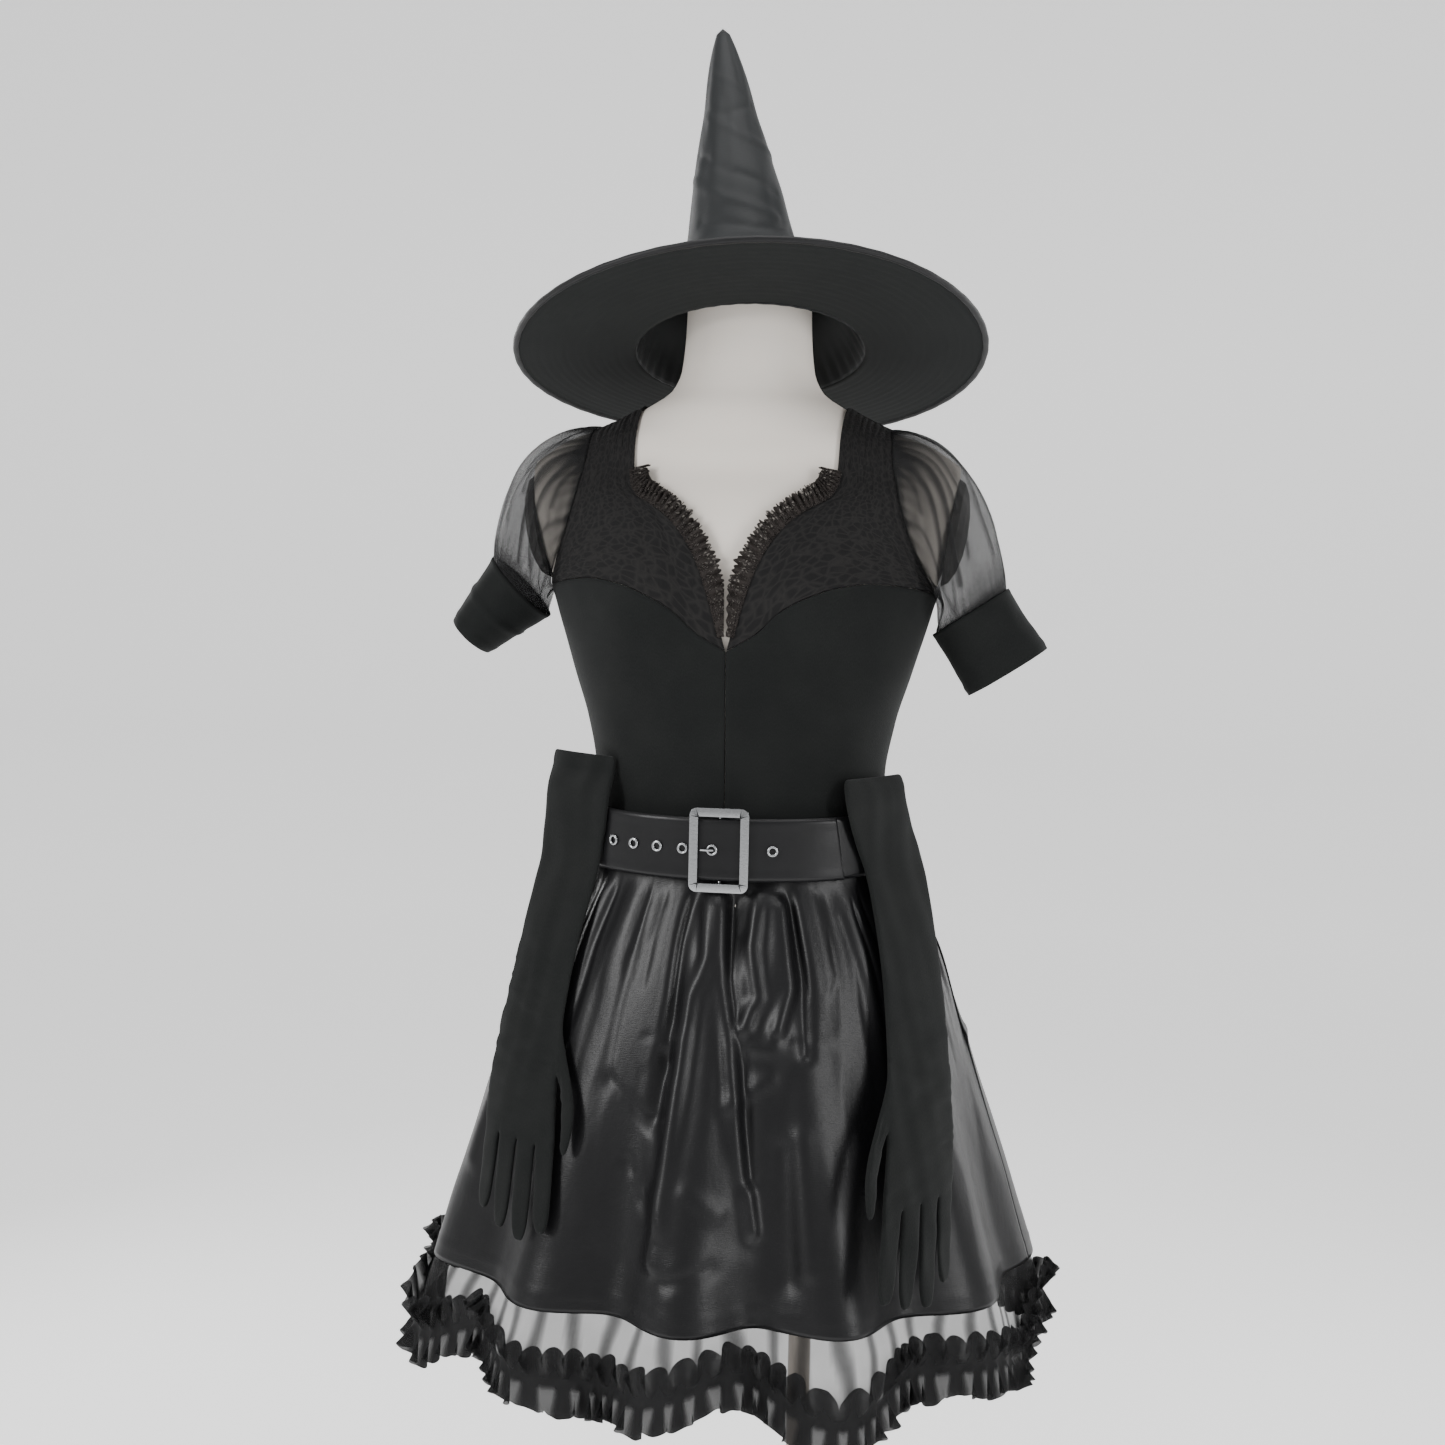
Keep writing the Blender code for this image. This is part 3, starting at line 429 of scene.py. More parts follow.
def plainMaterial(name, color, rough, metallic=0.0, grain=220.0, depth=0.12):
    coat = Coat(name, color, rough, metallic)
    grit = coat.clouds(coat.place(), grain, 3.0)
    coat.put("Roughness", coat.span(grit, rough - 0.06, rough + 0.06))
    coat.bump(grit, depth, 0.0006)
    return coat.material


jersey = jerseyMaterial("black jersey")
satin = satinMaterial("black satin", looks["satin"], looks["satinRough"])
beltSatin = satinMaterial("belt satin", looks["satin"], 0.32, 0.10)
crownSatin = satinMaterial("crown satin", looks["crown"], 0.55, 0.16)
bindingSatin = satinMaterial("binding satin", looks["satin"], 0.5, 0.1)
felt, lace, crinkle = feltMaterial(), laceMaterial(), crinkleMaterial()
net = netMaterial("hem net", looks["netAlpha"])
sleeveNet = netMaterial("sleeve net", looks["sleeveAlpha"])
silver = plainMaterial("brushed silver", looks["silver"], 0.24, 1.0, 600.0, 0.08)
linen = plainMaterial("stretched linen", (0.82, 0.76, 0.69), 0.85, 0.0, 900.0, 0.15)
platePlastic = plainMaterial("plate plastic", (0.05, 0.048, 0.045), 0.6)
rodMetal = plainMaterial("rod steel", (0.32, 0.29, 0.26), 0.35, 1.0, 400.0, 0.05)
baseIron = plainMaterial("base enamel", (0.06, 0.06, 0.06), 0.5)
print("materials made")


# Dress form
form = {"columns": 128, "rows": 120, "foot": 0.820, "neckTop": 1.4382}
heights = steps(form["foot"], form["neckTop"], form["rows"])
turns = [360 * c / form["columns"] for c in range(form["columns"])]
torso = loft("form-torso", gridOf(lambda a, z: bodyPoint(a, z, 0.017), turns, heights))
finished(torso, "form_torso", linen)
for node, material in (("form_arm_plate_l", platePlastic), ("form_arm_plate_r", platePlastic),
                       ("form_rod", rodMetal), ("form_base", baseIron)):
    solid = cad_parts[node]
    solid.data.materials.clear()
    solid.data.materials.append(material)
print("form made")


# Bodice
bodice = {"columns": 64, "rows": 60, "seamRidge": 0.0005, "drag": 0.0007, "waist": 0.9980}
edgeAngle = math.degrees(wall["seam"] / 2 / 0.09)


def bodiceGrid(angles, top, seed, behind=False):
    grid, lift = [], []
    for share in steps(0, 1, bodice["rows"]):
        row, amounts = [], []
        for a in angles:
            z = mix(bodice["waist"] + wall["seam"], top(a), share)
            row.append(dressPoint(180 + a if behind else a, z)[:])
            drag = soft(a / 22 + seed, z * 26 + a * 0.02, seed) * ramp(z, 1.02, 1.05)
            ridge = hump(share, 1, 0.03) + (0 if behind else hump(a, 0, 1.8))
            amounts.append(bodice["drag"] * max(drag, -0.4) + bodice["seamRidge"] * ridge)
        grid.append(row)
        lift.append(amounts)
    return pushed(np.array(grid), lift)


frontAngles = steps(edgeAngle, 90 - edgeAngle, bodice["columns"])
for side, seed in (("l", 3.1), ("r", 8.4)):
    grid = bodiceGrid(frontAngles, lambda a: read(underBust, a, 1) - 0.0001, seed)
    piece = clothGrid("bodice-front-" + side, grid if side == "l" else mirroredGrid(grid), wall["cloth"])
    finished(piece, "bodice_front_" + side, jersey)
backAngles = steps(-90 + edgeAngle, 90 - edgeAngle, bodice["columns"] * 2)
grid = bodiceGrid(backAngles, lambda a: read(backTop, abs(a), 1), 5.7, behind=True)
piece = clothGrid("bodice-back", grid, wall["cloth"])
finished(piece, "bodice_back", jersey)
print("bodice made")


# Cups, each one piece with its strap, crinkled along its length
cup = {"columns": 64, "rows": 130, "crinkle": 0.0009, "gathers": 16}


def cupGrid(seed, push=True):
    bottom = [(read(bodyRows, z, 1) * math.sin(math.radians(a)), z)
              for a, z in ((a, read(underBust, a, 1) + 0.0001)
                           for a in steps(edgeAngle, 90 - edgeAngle, cup["columns"]))]
    grid, lift = [], []
    for share in steps(0, 1, cup["rows"]):
        row, amounts = [], []
        edges = [read(cupRows, share, k) for k in (1, 2, 3, 4)]
        for c in range(cup["columns"] + 1):
            u = c / cup["columns"]
            belly = (1 - share) ** 2.5
            x = mix(edges[0], edges[2], u) + belly * (bottom[c][0] - mix(bottom[0][0], bottom[-1][0], u))
            z = mix(edges[1], edges[3], u) + belly * (bottom[c][1] - mix(bottom[0][1], bottom[-1][1], u))
            row.append(dressAt(x, z)[:])
            warp = u + 0.05 * soft(share * 5, u * 3, seed)
            gather = math.sin(warp * math.tau * cup["gathers"] / 2 + seed) * (0.55 + 0.45 * soft(u * 9, share * 7, seed))
            fine = soft(u * 30 + seed, share * 16, 1.0)
            inside = min(1, 12 * u, 12 * (1 - u), 30 * share)
            amounts.append(cup["crinkle"] * inside * max(0.75 * gather + 0.6 * fine, -0.35))
        grid.append(row)
        lift.append(amounts)
    grid = np.array(grid)
    return pushed(grid, lift) if push else grid


for side, seed in (("l", 0.7), ("r", 4.9)):
    grid = cupGrid(seed)
    piece = clothGrid("cup-" + side, grid if side == "l" else mirroredGrid(grid), wall["cloth"])
    finished(piece, "cup_" + side, crinkle)

strap = {"low": 1.2419, "inner": 0.090, "outer": 0.1315, "lift": 0.0005, "rows": 60, "columns": 20}
rows = []
for share in steps(0, 1, strap["rows"]):
    line = []
    topShare = next(s for s in steps(0, 1, 400) if read(cupRows, s, 4) >= mix(1.2475, 1.3195, share) - 1e-6)
    z = mix(strap["low"], read(cupRows, topShare, 4), share ** 0.9 if share < 1 else 1)
    outer = mix(strap["outer"], read(cupRows, topShare, 3), min(1, share * 6))
    lift = (z - strap["low"]) / (1.3195 - strap["low"])
    for u in steps(0, 1, strap["columns"]):
        x = mix(outer, mix(strap["inner"], 0.0808, lift), u)
        line.append(dressAt(x, mix(z, mix(strap["low"], 1.3375, lift), u), strap["lift"], behind=True))
    rows.append([p[:] for p in line])
grid = np.array(rows)
grid[-1, :, 1] += 2 * wall["seam"]
for side in "lr":
    piece = clothGrid("back-strap-" + side, grid if side == "l" else mirroredGrid(grid), wall["cloth"])
    finished(piece, "strap_back_" + side, jersey)
print("cups and straps made")


# Lace along the neckline, gathered in waves that grow towards its free edge
frill = {"start": 0.03, "end": 0.74, "columns": 600, "rows": 7, "waves": 30, "width": 0.0122, "ripple": 0.0034}
edgeLine = [Vector(p) for p in cupGrid(0.0, False)[:, 0]]
insideLine = [Vector(p) for p in cupGrid(0.0, False)[:, 2]]
rows = [[] for _ in range(frill["rows"] + 1)]
for share in steps(frill["start"], frill["end"], frill["columns"]):
    at = share * cup["rows"]
    k = min(int(at), cup["rows"] - 1)
    edge = edgeLine[k].lerp(edgeLine[k + 1], at - k)
    along = (edgeLine[min(k + 7, cup["rows"])] - edgeLine[max(k - 7, 0)]).normalized()
    aside = edge - insideLine[k].lerp(insideLine[k + 1], at - k)
    away = (aside - along * aside.dot(along)).normalized()
    normal = along.cross(away)
    run = (share - frill["start"]) / (frill["end"] - frill["start"])
    phase = run * math.tau * frill["waves"] + 1.5 * soft(run * 9, 2.0)
    scallop = 1 + 0.10 * math.cos(2 * phase) + 0.25 * soft(run * 40, 5.0)
    width = min(frill["width"] * scallop, max(edge.x - 0.0016, 0.0024))
    for r, line in enumerate(rows):
        out = r / frill["rows"]
        wave = frill["ripple"] * math.sin(phase) * out ** 0.8 * (0.8 + 0.4 * soft(run * 14, 9.0))
        rise = 0.0017 + 0.0030 * out + max(wave, -0.0012 - 0.0026 * out)
        line.append((edge + away * mix(-0.0030, width, out) + normal * rise)[:])
grid = np.array(rows)
for side in "lr":
    piece = clothGrid("lace-" + side, grid if side == "l" else mirroredGrid(grid), wall["net"] * 0.5)
    finished(piece, "lace_" + side, lace)
print("lace made")


# Sleeves and cuffs. Cuff: top x and z, foot x and z, half sizes at the top and at the foot
cuffs = {"l": (0.183, 1.180, 0.213, 1.134, 0.032, 0.026, 0.034, 0.022),
         "r": (0.184, 1.192, 0.224, 1.152, 0.031, 0.026, 0.018, 0.028)}
sleeve = {"columns": 200, "rows": 64, "folds": 9, "depth": 0.0026, "gathers": 30, "gatherDepth": 0.0006}

# strength, width, then points of angle in hundreds of degrees and share of the way down
sleeveFolds = [
    (1.0, 0.040, (1.34, 0.00), (1.20, 0.22), (0.98, 0.50), (0.84, 0.74)),
    (0.9, 0.034, (1.30, 0.02), (1.10, 0.16), (0.80, 0.40), (0.62, 0.60)),
    (0.7, 0.026, (1.40, 0.00), (1.30, 0.26), (1.16, 0.46)), (0.6, 0.024, (1.46, 0.00), (1.42, 0.22), (1.34, 0.42)),
    (0.6, 0.026, (1.18, 0.00), (0.96, 0.14), (0.74, 0.22)), (0.6, 0.030, (1.62, 0.02), (1.58, 0.40), (1.44, 0.80)),
    (0.5, 0.030, (0.62, 0.02), (0.56, 0.40), (0.60, 0.86)), (0.6, 0.030, (1.84, 0.00), (1.92, 0.36), (2.02, 0.80)),
    (0.8, 0.036, (2.20, 0.00), (2.36, 0.30), (2.62, 0.66)), (0.6, 0.028, (2.32, 0.00), (2.60, 0.22), (2.86, 0.50)),
    (0.5, 0.030, (2.80, 0.02), (3.00, 0.40), (2.94, 0.90)), (0.5, 0.030, (0.28, 0.04), (0.34, 0.50), (0.24, 0.92)),
]


def cuffRing(c, share, angle, along=0.0):
    axis = Vector((c[2] - c[0], 0, c[3] - c[1])).normalized()
    across = Vector((-axis.z, 0, axis.x))
    middle = Vector((mix(c[0], c[2], share), -0.004, mix(c[1], c[3], share))) + axis * along
    turn = math.radians(angle)
    return (middle - across * math.cos(turn) * mix(c[4], c[6], share)
            - Vector((0, 1, 0)) * math.sin(turn) * mix(c[5], c[7], share))


def armhole(angle):
    # 0 is under the arm, 90 in front, 180 on the shoulder
    share = 1 - (1 - (angle if angle <= 180 else 360 - angle) / 180) ** 1.6
    lane = -0.0016 + 0.0030 * (1 - share) ** 2
    x, z = read(cupRows, share, 3) + lane, read(cupRows, share, 4)
    front = math.degrees(math.asin(min(x / read(bodyRows, z, 1), 1.0)))
    point = dressPoint(front if angle <= 180 else 180 - front, z, 0.0017)
    point.x = max(point.x, x)
    return point


turns = [360 * c / sleeve["columns"] for c in range(sleeve["columns"])]
shoulderRing = [armhole(a) for a in turns]
for side, c in cuffs.items():
    seed = 2.3 if side == "l" else 7.9
    angleGrid, shareGrid = np.meshgrid(np.array(turns) / 100, np.array(steps(1, 0, sleeve["rows"])))
    shift = 0.05 * np.sin(9 * shareGrid + seed)
    drawn = np.clip(creaseField(angleGrid + shift, shareGrid, sleeveFolds), 0, 1.2)
    grid, lift, marks = [], [], []
    for r, share in enumerate(steps(1, 0, sleeve["rows"])):
        row, amounts, dark = [], [], []
        for k, (start, angle) in enumerate(zip(shoulderRing, turns)):
            end, turn = cuffRing(c, 0.0, angle), math.radians(angle)
            top, under, flank = max(-math.cos(turn), 0), max(math.cos(turn), 0), math.sin(turn)
            lead = start + Vector((0.030 + 0.023 * top - 0.018 * under, -0.014 * flank, -0.004 - 0.004 * under))
            tail = end + Vector((-0.004 - 0.005 * top + 0.006 * under, -0.024 * flank,
                                 0.034 + 0.032 * top - 0.022 * under))
            t, s = share, 1 - share
            row.append((s**3 * start + 3 * s * s * t * lead + 3 * s * t * t * tail + t**3 * end)[:])
            bend = 1.1 * math.sin(turn + seed) + 0.7 * math.sin(2 * turn) + 1.6 * soft(angle / 60, share * 2, seed)
            fold = math.cos(sleeve["folds"] * turn + bend + 1.2 * t)
            fold = fold * (0.6 + 0.6 * soft(math.cos(turn) * 3, math.sin(turn) * 3, share * 2 + seed))
            gather = math.sin(sleeve["gathers"] * turn + 2.0 * soft(math.cos(turn) * 2, math.sin(turn) * 2, seed))
            ends = hump(t, 0.04, 0.16) + hump(t, 0.97, 0.13)
            middle = math.sin(math.pi * t) ** 0.8
            inside = min(1, 14 * t, 14 * s)
            amounts.append(inside * (0.0012 * middle + 0.0022 * drawn[r, k] + sleeve["depth"] * 0.6 * middle * fold
                                     + sleeve["gatherDepth"] * ends * gather))
            edges = max(0, 1 - 14 * s) + max(0, 1 - 14 * t)
            # net opacity: denser at the gathered ends, along the drawn folds and at the seams, and raised in the fold
            # and gather troughs as painted shade
            dark.append(min(1, 0.14 * ends * (0.5 - 0.5 * gather) + 0.10 * middle * max(-fold, 0) ** 1.5
                            + 0.62 * drawn[r, k] + 0.12 * ends + 0.5 * edges))
        grid.append(row)
        lift.append(amounts)
        marks.append(dark)
    grid, marks = pushed(np.array(grid), lift, around=True), np.array(marks)
    rings = []
    for share in steps(1, 0, 26):
        ring = []
        for angle in turns[::2]:
            turn = math.radians(angle)
            sag = 0.0011 * soft(math.cos(turn) * 2.2, math.sin(turn) * 2.2, share * 2.5 + seed)
            hem = 0.0007 * (hump(share, 0.90, 0.05) + hump(share, 0.02, 0.03))
            fold = 0.0013 * hump(share, 0.48 + 0.05 * math.sin(turn), 0.05) if side == "r" else 0
            point = cuffRing(c, share, angle, -0.0012 * (1 - share))
            middle = (cuffRing(c, share, 0) + cuffRing(c, share, 180)) / 2
            ring.append((point + (point - middle).normalized() * (max(sag, -0.0004) + hem + fold + 0.0010))[:])
        rings.append(ring)
    rings = np.array(rings)
    if side == "r":
        grid, marks, rings = mirroredGrid(grid), marks[:, ::-1], mirroredGrid(rings)
    piece = clothGrid("sleeve-" + side, grid, wall["net"] * 0.4, around=True, marks=marks)
    finished(piece, "sleeve_" + side, sleeveNet)
    piece = clothGrid("cuff-" + side, rings, wall["cloth"], around=True)
    finished(piece, "cuff_" + side, jersey)
print("sleeves made")


# Belt, with its tail lapped over the other end, and its buckle and eyelets
belt = {"half": 0.1308, "front": 0.0943, "back": 0.0912, "middle": 0.997, "width": 0.048,
        "columns": 480, "rows": 14, "hem": 0.00025}
buckle = {"x": -0.0013, "width": 0.046, "height": 0.065, "corner": 0.006, "bar": 0.0066, "wall": 0.0026}
eyelets = {"places": (-0.0860, -0.0690, -0.0500, -0.0297, -0.0068, 0.0389), "radius": 0.0034, "wire": 0.0010}


def beltPoint(turn, height):
    angle, out = math.radians(turn), 0.0049 * ramp(turn, -75, -25)
    depth = (belt["front"] if math.cos(angle) > 0 else belt["back"]) + out
    middle = belt["middle"] + 0.006 * (1 - math.cos(angle)) / 2
    return Vector(((belt["half"] + out) * math.sin(angle), -depth * math.cos(angle),
                   middle + height * belt["width"] / 2))


grid, lift = [], []
for height in steps(-1, 1, belt["rows"]):
    angles = [t - 4 * (height + 1) / 2 * ramp(t, 25, 43) for t in steps(-356, 43, belt["columns"])]
    grid.append([beltPoint(t, height)[:] for t in angles])
    lift.append([belt["hem"] * (hump(abs(height), 0.86, 0.05) + 0.5 * soft(t / 14, height * 2, 6.0)) for t in angles])
piece = clothGrid("waist-belt", pushed(np.array(grid), lift), wall["belt"])
finished(piece, "belt", beltSatin)

face = beltPoint(0, 0).y - wall["belt"] - wall["seam"]
bpy.ops.object.select_all(action="DESELECT")
bpy.ops.mesh.primitive_plane_add(size=1.0, location=(0, 0, 0))
buckleFrame = bpy.context.object
buckleFrame.name = "buckle-frame"
buckleFrame.scale = (buckle["width"], buckle["height"], 1)
bpy.ops.object.transform_apply(location=False, rotation=False, scale=True)
bpy.ops.object.mode_set(mode="EDIT")
bpy.ops.mesh.select_all(action="SELECT")
bpy.ops.mesh.bevel(offset=buckle["corner"], segments=8, affect="VERTICES")
bpy.ops.mesh.select_all(action="SELECT")
bpy.ops.mesh.inset(thickness=buckle["bar"])
bpy.ops.mesh.delete(type="FACE")
bpy.ops.object.mode_set(mode="OBJECT")
buckleFrame.rotation_euler = (math.pi / 2, 0, 0)
buckleFrame.location = (buckle["x"], face - buckle["wall"] / 2, belt["middle"])
bpy.ops.object.transform_apply(location=True, rotation=True, scale=True)
for kind, settings in (("SOLIDIFY", {"thickness": buckle["wall"], "offset": 0.0}),
                       ("BEVEL", {"width": 0.0009, "segments": 4, "limit_method": "ANGLE"})):
    tool = buckleFrame.modifiers.new(kind.lower(), kind)
    for key, value in settings.items():
        setattr(tool, key, value)
    bpy.ops.object.modifier_apply(modifier=tool.name)
bpy.ops.object.shade_smooth_by_angle(angle=math.radians(35))
finished(buckleFrame, "buckle_frame", silver)

for number, x in enumerate(eyelets["places"], 1):
    turn = math.degrees(math.asin(x / (belt["half"] + 0.0049 * ramp(math.degrees(x / 0.1), -75, -25))))
    point = beltPoint(turn, 0)
    normal = (beltPoint(turn + 1, 0) - beltPoint(turn - 1, 0)).cross(Vector((0, 0, 1))).normalized()
    at = point + normal * (wall["belt"] + eyelets["wire"] + 0.0001)
    bpy.ops.object.select_all(action="DESELECT")
    bpy.ops.mesh.primitive_torus_add(location=at, rotation=normal.to_track_quat("Z", "Y").to_euler(),
                                     major_radius=eyelets["radius"], minor_radius=eyelets["wire"],
                                     major_segments=40, minor_segments=14)
    ring = bpy.context.object
    ring.name = "eyelet-%d" % number
    bpy.ops.object.transform_apply(location=True, rotation=True, scale=True)
    ring.data.shade_smooth()
    finished(ring, "eyelet_%d" % number, silver)
for node in ("buckle_bar", "buckle_prong"):
    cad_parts[node].data.materials.clear()
    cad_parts[node].data.materials.append(silver)
print("belt made")


# Skirt, in two halves parted at the side seams.
# Each crease: height (below 0 is a trough), width, then points of x in front and z.
skirt = {"columns": 300, "rows": 104, "hem": 0.654, "top": 0.9975, "gather": 0.0017}
frontCreases = [
    (0.0045, 0.0045, (-0.071, 0.968), (-0.083, 0.930)), (0.0045, 0.0050, (-0.062, 0.968), (-0.075, 0.922)),
    (0.0050, 0.0070, (-0.030, 0.962), (-0.038, 0.930), (-0.043, 0.888), (-0.053, 0.866)),
    (-0.0050, 0.0070, (-0.019, 0.970), (-0.026, 0.925), (-0.030, 0.870), (-0.040, 0.800)),
    (0.0055, 0.0065, (-0.009, 0.966), (-0.006, 0.916), (-0.015, 0.888), (-0.026, 0.784), (-0.034, 0.700)),
    (0.0050, 0.0060, (0.001, 0.962), (0.005, 0.924), (0.015, 0.845), (0.023, 0.798), (0.038, 0.722)),
    (-0.0055, 0.0065, (0.012, 0.968), (0.012, 0.900), (0.026, 0.840), (0.034, 0.760)),
    (0.0050, 0.0060, (0.031, 0.966), (0.028, 0.924), (0.035, 0.888), (0.023, 0.866)),
    (0.0050, 0.0055, (0.046, 0.954), (0.057, 0.895), (0.050, 0.866)),
    (-0.0045, 0.0055, (0.052, 0.966), (0.066, 0.905), (0.072, 0.850)),
    (0.0045, 0.0050, (0.057, 0.965), (0.073, 0.917), (0.080, 0.895)),
    (0.0040, 0.0050, (0.072, 0.954), (0.084, 0.903)), (0.0030, 0.0080, (0.082, 0.966), (0.090, 0.958)),
    (0.0019, 0.0101, (0.028, 0.860), (0.056, 0.847)), (-0.0019, 0.0068, (-0.055, 0.866), (-0.032, 0.836)),
    (0.0021, 0.0074, (-0.052, 0.846), (-0.028, 0.858)), (-0.0019, 0.0068, (-0.060, 0.765), (-0.030, 0.718)),
    (0.0020, 0.0081, (-0.064, 0.740), (-0.040, 0.760), (-0.026, 0.722)),
    (0.0019, 0.0074, (0.015, 0.812), (0.045, 0.830)), (-0.0019, 0.0061, (-0.076, 0.822), (-0.042, 0.792)),
    (0.0014, 0.0054, (0.020, 0.853), (0.094, 0.856)), (0.0025, 0.0135, (0.034, 0.700), (0.062, 0.662)),
    (0.0020, 0.0081, (0.072, 0.790), (0.083, 0.700)), (-0.0022, 0.0095, (0.058, 0.780), (0.066, 0.690)),
    (0.0028, 0.0081, (-0.170, 0.835), (-0.196, 0.735)), (-0.0022, 0.0095, (-0.150, 0.850), (-0.166, 0.730)),
    (0.0017, 0.0068, (-0.010, 0.752), (0.012, 0.738)), (-0.0017, 0.0061, (-0.020, 0.690), (0.010, 0.700)),
]


def scatteredCreases(seed, count, low, high):
    # long soft folds from the belt and short crumples lower down, for the side that isn't in view
    rng = np.random.default_rng(seed)
    lines = []
    for i in range(count):
        x, z = rng.uniform(low, high), rng.uniform(0.70, 0.95)
        long = i % 3 == 0
        z = 0.968 if long else z
        slope, length = rng.uniform(-0.25, 0.35), rng.uniform(0.05, 0.20) if long else rng.uniform(0.02, 0.045)
        bend = rng.uniform(-0.012, 0.012)
        drop = length if long else length * rng.uniform(0.2, 1.0)
        side = slope * length if long else rng.choice([-1, 1]) * length
        lines.append((rng.choice([-1, 1, 1]) * rng.uniform(0.0030, 0.0050), rng.uniform(0.0050, 0.0075),
                      (x, z), (x + side / 2 + bend, z - drop / 2), (x + side, z - drop)))
    return lines


def gloveCover(angle):
    # 1 under the gloves, which lie against the skirt
    return max(1 - ramp(abs(angle + 35), 20, 30), 1 - ramp(abs(angle - 52), 22, 32))


def skirtGrid(angles, creases, seed, behind):
    heights = [mix(skirt["hem"], skirt["top"], s) for s in steps(0, 1, skirt["rows"])]
    grid = gridOf(skirtPoint, angles, heights)
    field = creaseField(grid[:, :, 0], grid[:, :, 2], creases)
    lift = np.zeros(field.shape)
    for r, z in enumerate(heights):
        nearBelt = ramp(z, 0.974, 0.950)
        fall = nearBelt * ramp(z, 0.70, 0.95)
        for c, a in enumerate(angles):
            t = math.radians(a)
            warp = 2.2 * soft(math.cos(t) * 2.6, math.sin(t) * 2.6, z * 4 + seed)
            gather = math.sin(46 * t + warp * 2.2) * (0.6 + 0.6 * soft(math.cos(t) * 7, math.sin(t) * 7, seed))
            crumple = soft(math.cos(t) * 8, math.sin(t) * 8, z * 17) * 0.0014 * ramp(z, 0.97, 0.90)
            amount = skirt["gather"] * fall * gather + crumple + field[r, c] * nearBelt
            cover = 0.0 if behind else gloveCover(a)
            amount = amount if amount < 0 else amount * (1 - cover)
            lift[r, c] = amount - 0.0016 * cover * nearBelt * ramp(z, 0.66, 0.70)
    lift += 0.0006 * np.exp(-((np.array(heights) - skirt["hem"] - 0.012) / 0.0016) ** 2)[:, None]
    return pushed(grid, lift)


gap = math.degrees(wall["seam"] / 2 / 0.13)
halves = {"front": -90, "back": 90}
for side, start in halves.items():
    angles = steps(start + gap, start + 180 - gap, skirt["columns"])
    creases = frontCreases if side == "front" else scatteredCreases(31, 34, -0.17, 0.17)
    grid = skirtGrid(angles, creases, 3.0 if side == "front" else 9.0, side == "back")
    piece = clothGrid("skirt-" + side, grid, wall["cloth"])
    finished(piece, "skirt_" + side, satin)
print("skirt made")


# Net under the skirt's hem, with a ruffle gathered along its own middle line
hemNet = {"columns": 300, "rows": 18, "line": 0.612, "top": 0.705}
ruffle = {"columns": 1100, "rows": 12, "wing": 0.0225, "waves": 54, "swing": 0.0078, "out": 0.0078}


def ruffleLine(angle):
    turn = math.radians(angle)
    return hemNet["line"] + 0.010 * math.sin(8 * turn + 1.1) + 0.004 * math.sin(13 * turn)


def netPoint(angle, z):
    inner = movedOut(skirtPoint, angle, z, -(wall["net"] + wall["seam"] + 0.0012 * ramp(z, 0.640, 0.652) + 0.0002))
    return Vector((inner.x, inner.y, z))


for side, start in halves.items():
    angles = steps(start + gap, start + 180 - gap, hemNet["columns"])
    rows = [[netPoint(a, mix(ruffleLine(a), hemNet["top"], s))[:] for a in angles]
            for s in steps(0, 1, hemNet["rows"])]
    folds = [[max(0.0, math.sin(60 * math.radians(a) + 3 * soft(a / 9, s * 2))) * 0.5 + 0.5 * hump(s, 0, 0.12)
              for a in angles] for s in steps(0, 1, hemNet["rows"])]
    piece = clothGrid("net-" + side, np.array(rows), wall["net"] * 0.4, marks=folds)
    finished(piece, "net_" + side, net)

    seed = 1.0 if side == "front" else 6.0
    angles = steps(start + gap + 0.15, start + 180 - gap - 0.15, ruffle["columns"])
    spine = [netPoint(a, ruffleLine(a)) for a in angles]
    rows, folds = [], []
    for s in steps(-1, 1, ruffle["rows"]):
        line, dark = [], []
        for i, point in enumerate(spine):
            before, after = spine[max(i - 6, 0)], spine[min(i + 6, len(spine) - 1)]
            away = (after - before).cross(Vector((0, 0, 1))).normalized()
            along = (after - before).normalized()
            run = i / ruffle["columns"]
            phase = run * math.tau * ruffle["waves"] + 5.0 * soft(run * 17, 1.0 * (s > 0), seed)
            size = 0.75 + 0.9 * soft(run * 26, 4.0 + (s > 0), seed)
            ragged = 1 + 0.10 * soft(run * 210, s * 0.2, seed) + 0.22 * soft(run * 34, 8.0 + (s > 0), seed)
            wave = math.sin(phase) * size * ruffle["swing"] * abs(s) ** 0.9
            out = 0.0016 + ruffle["out"] * abs(s) + wave
            up = s * ruffle["wing"] * ragged - 0.0040 * math.sin(phase) * s * abs(s)
            slide = 0.0042 * math.cos(phase) * abs(s)
            line.append((point + away * max(out, 0.0016) + along * slide + Vector((0, 0, up)))[:])
            # ruffle opacity: denser along its gathered middle and more opaque on the lower wing, and raised in the wave
            # troughs as painted shade
            dark.append(min(1, 0.9 * hump(s, 0, 0.18) + 0.50 * max(0, -math.sin(phase)) + (0.50 if s < 0 else 0.36)))
        rows.append(line)
        folds.append(dark)
    piece = clothGrid("ruffle-" + side, np.array(rows), wall["net"] * 0.4, marks=folds)
    finished(piece, "ruffle_" + side, net)
print("net made")


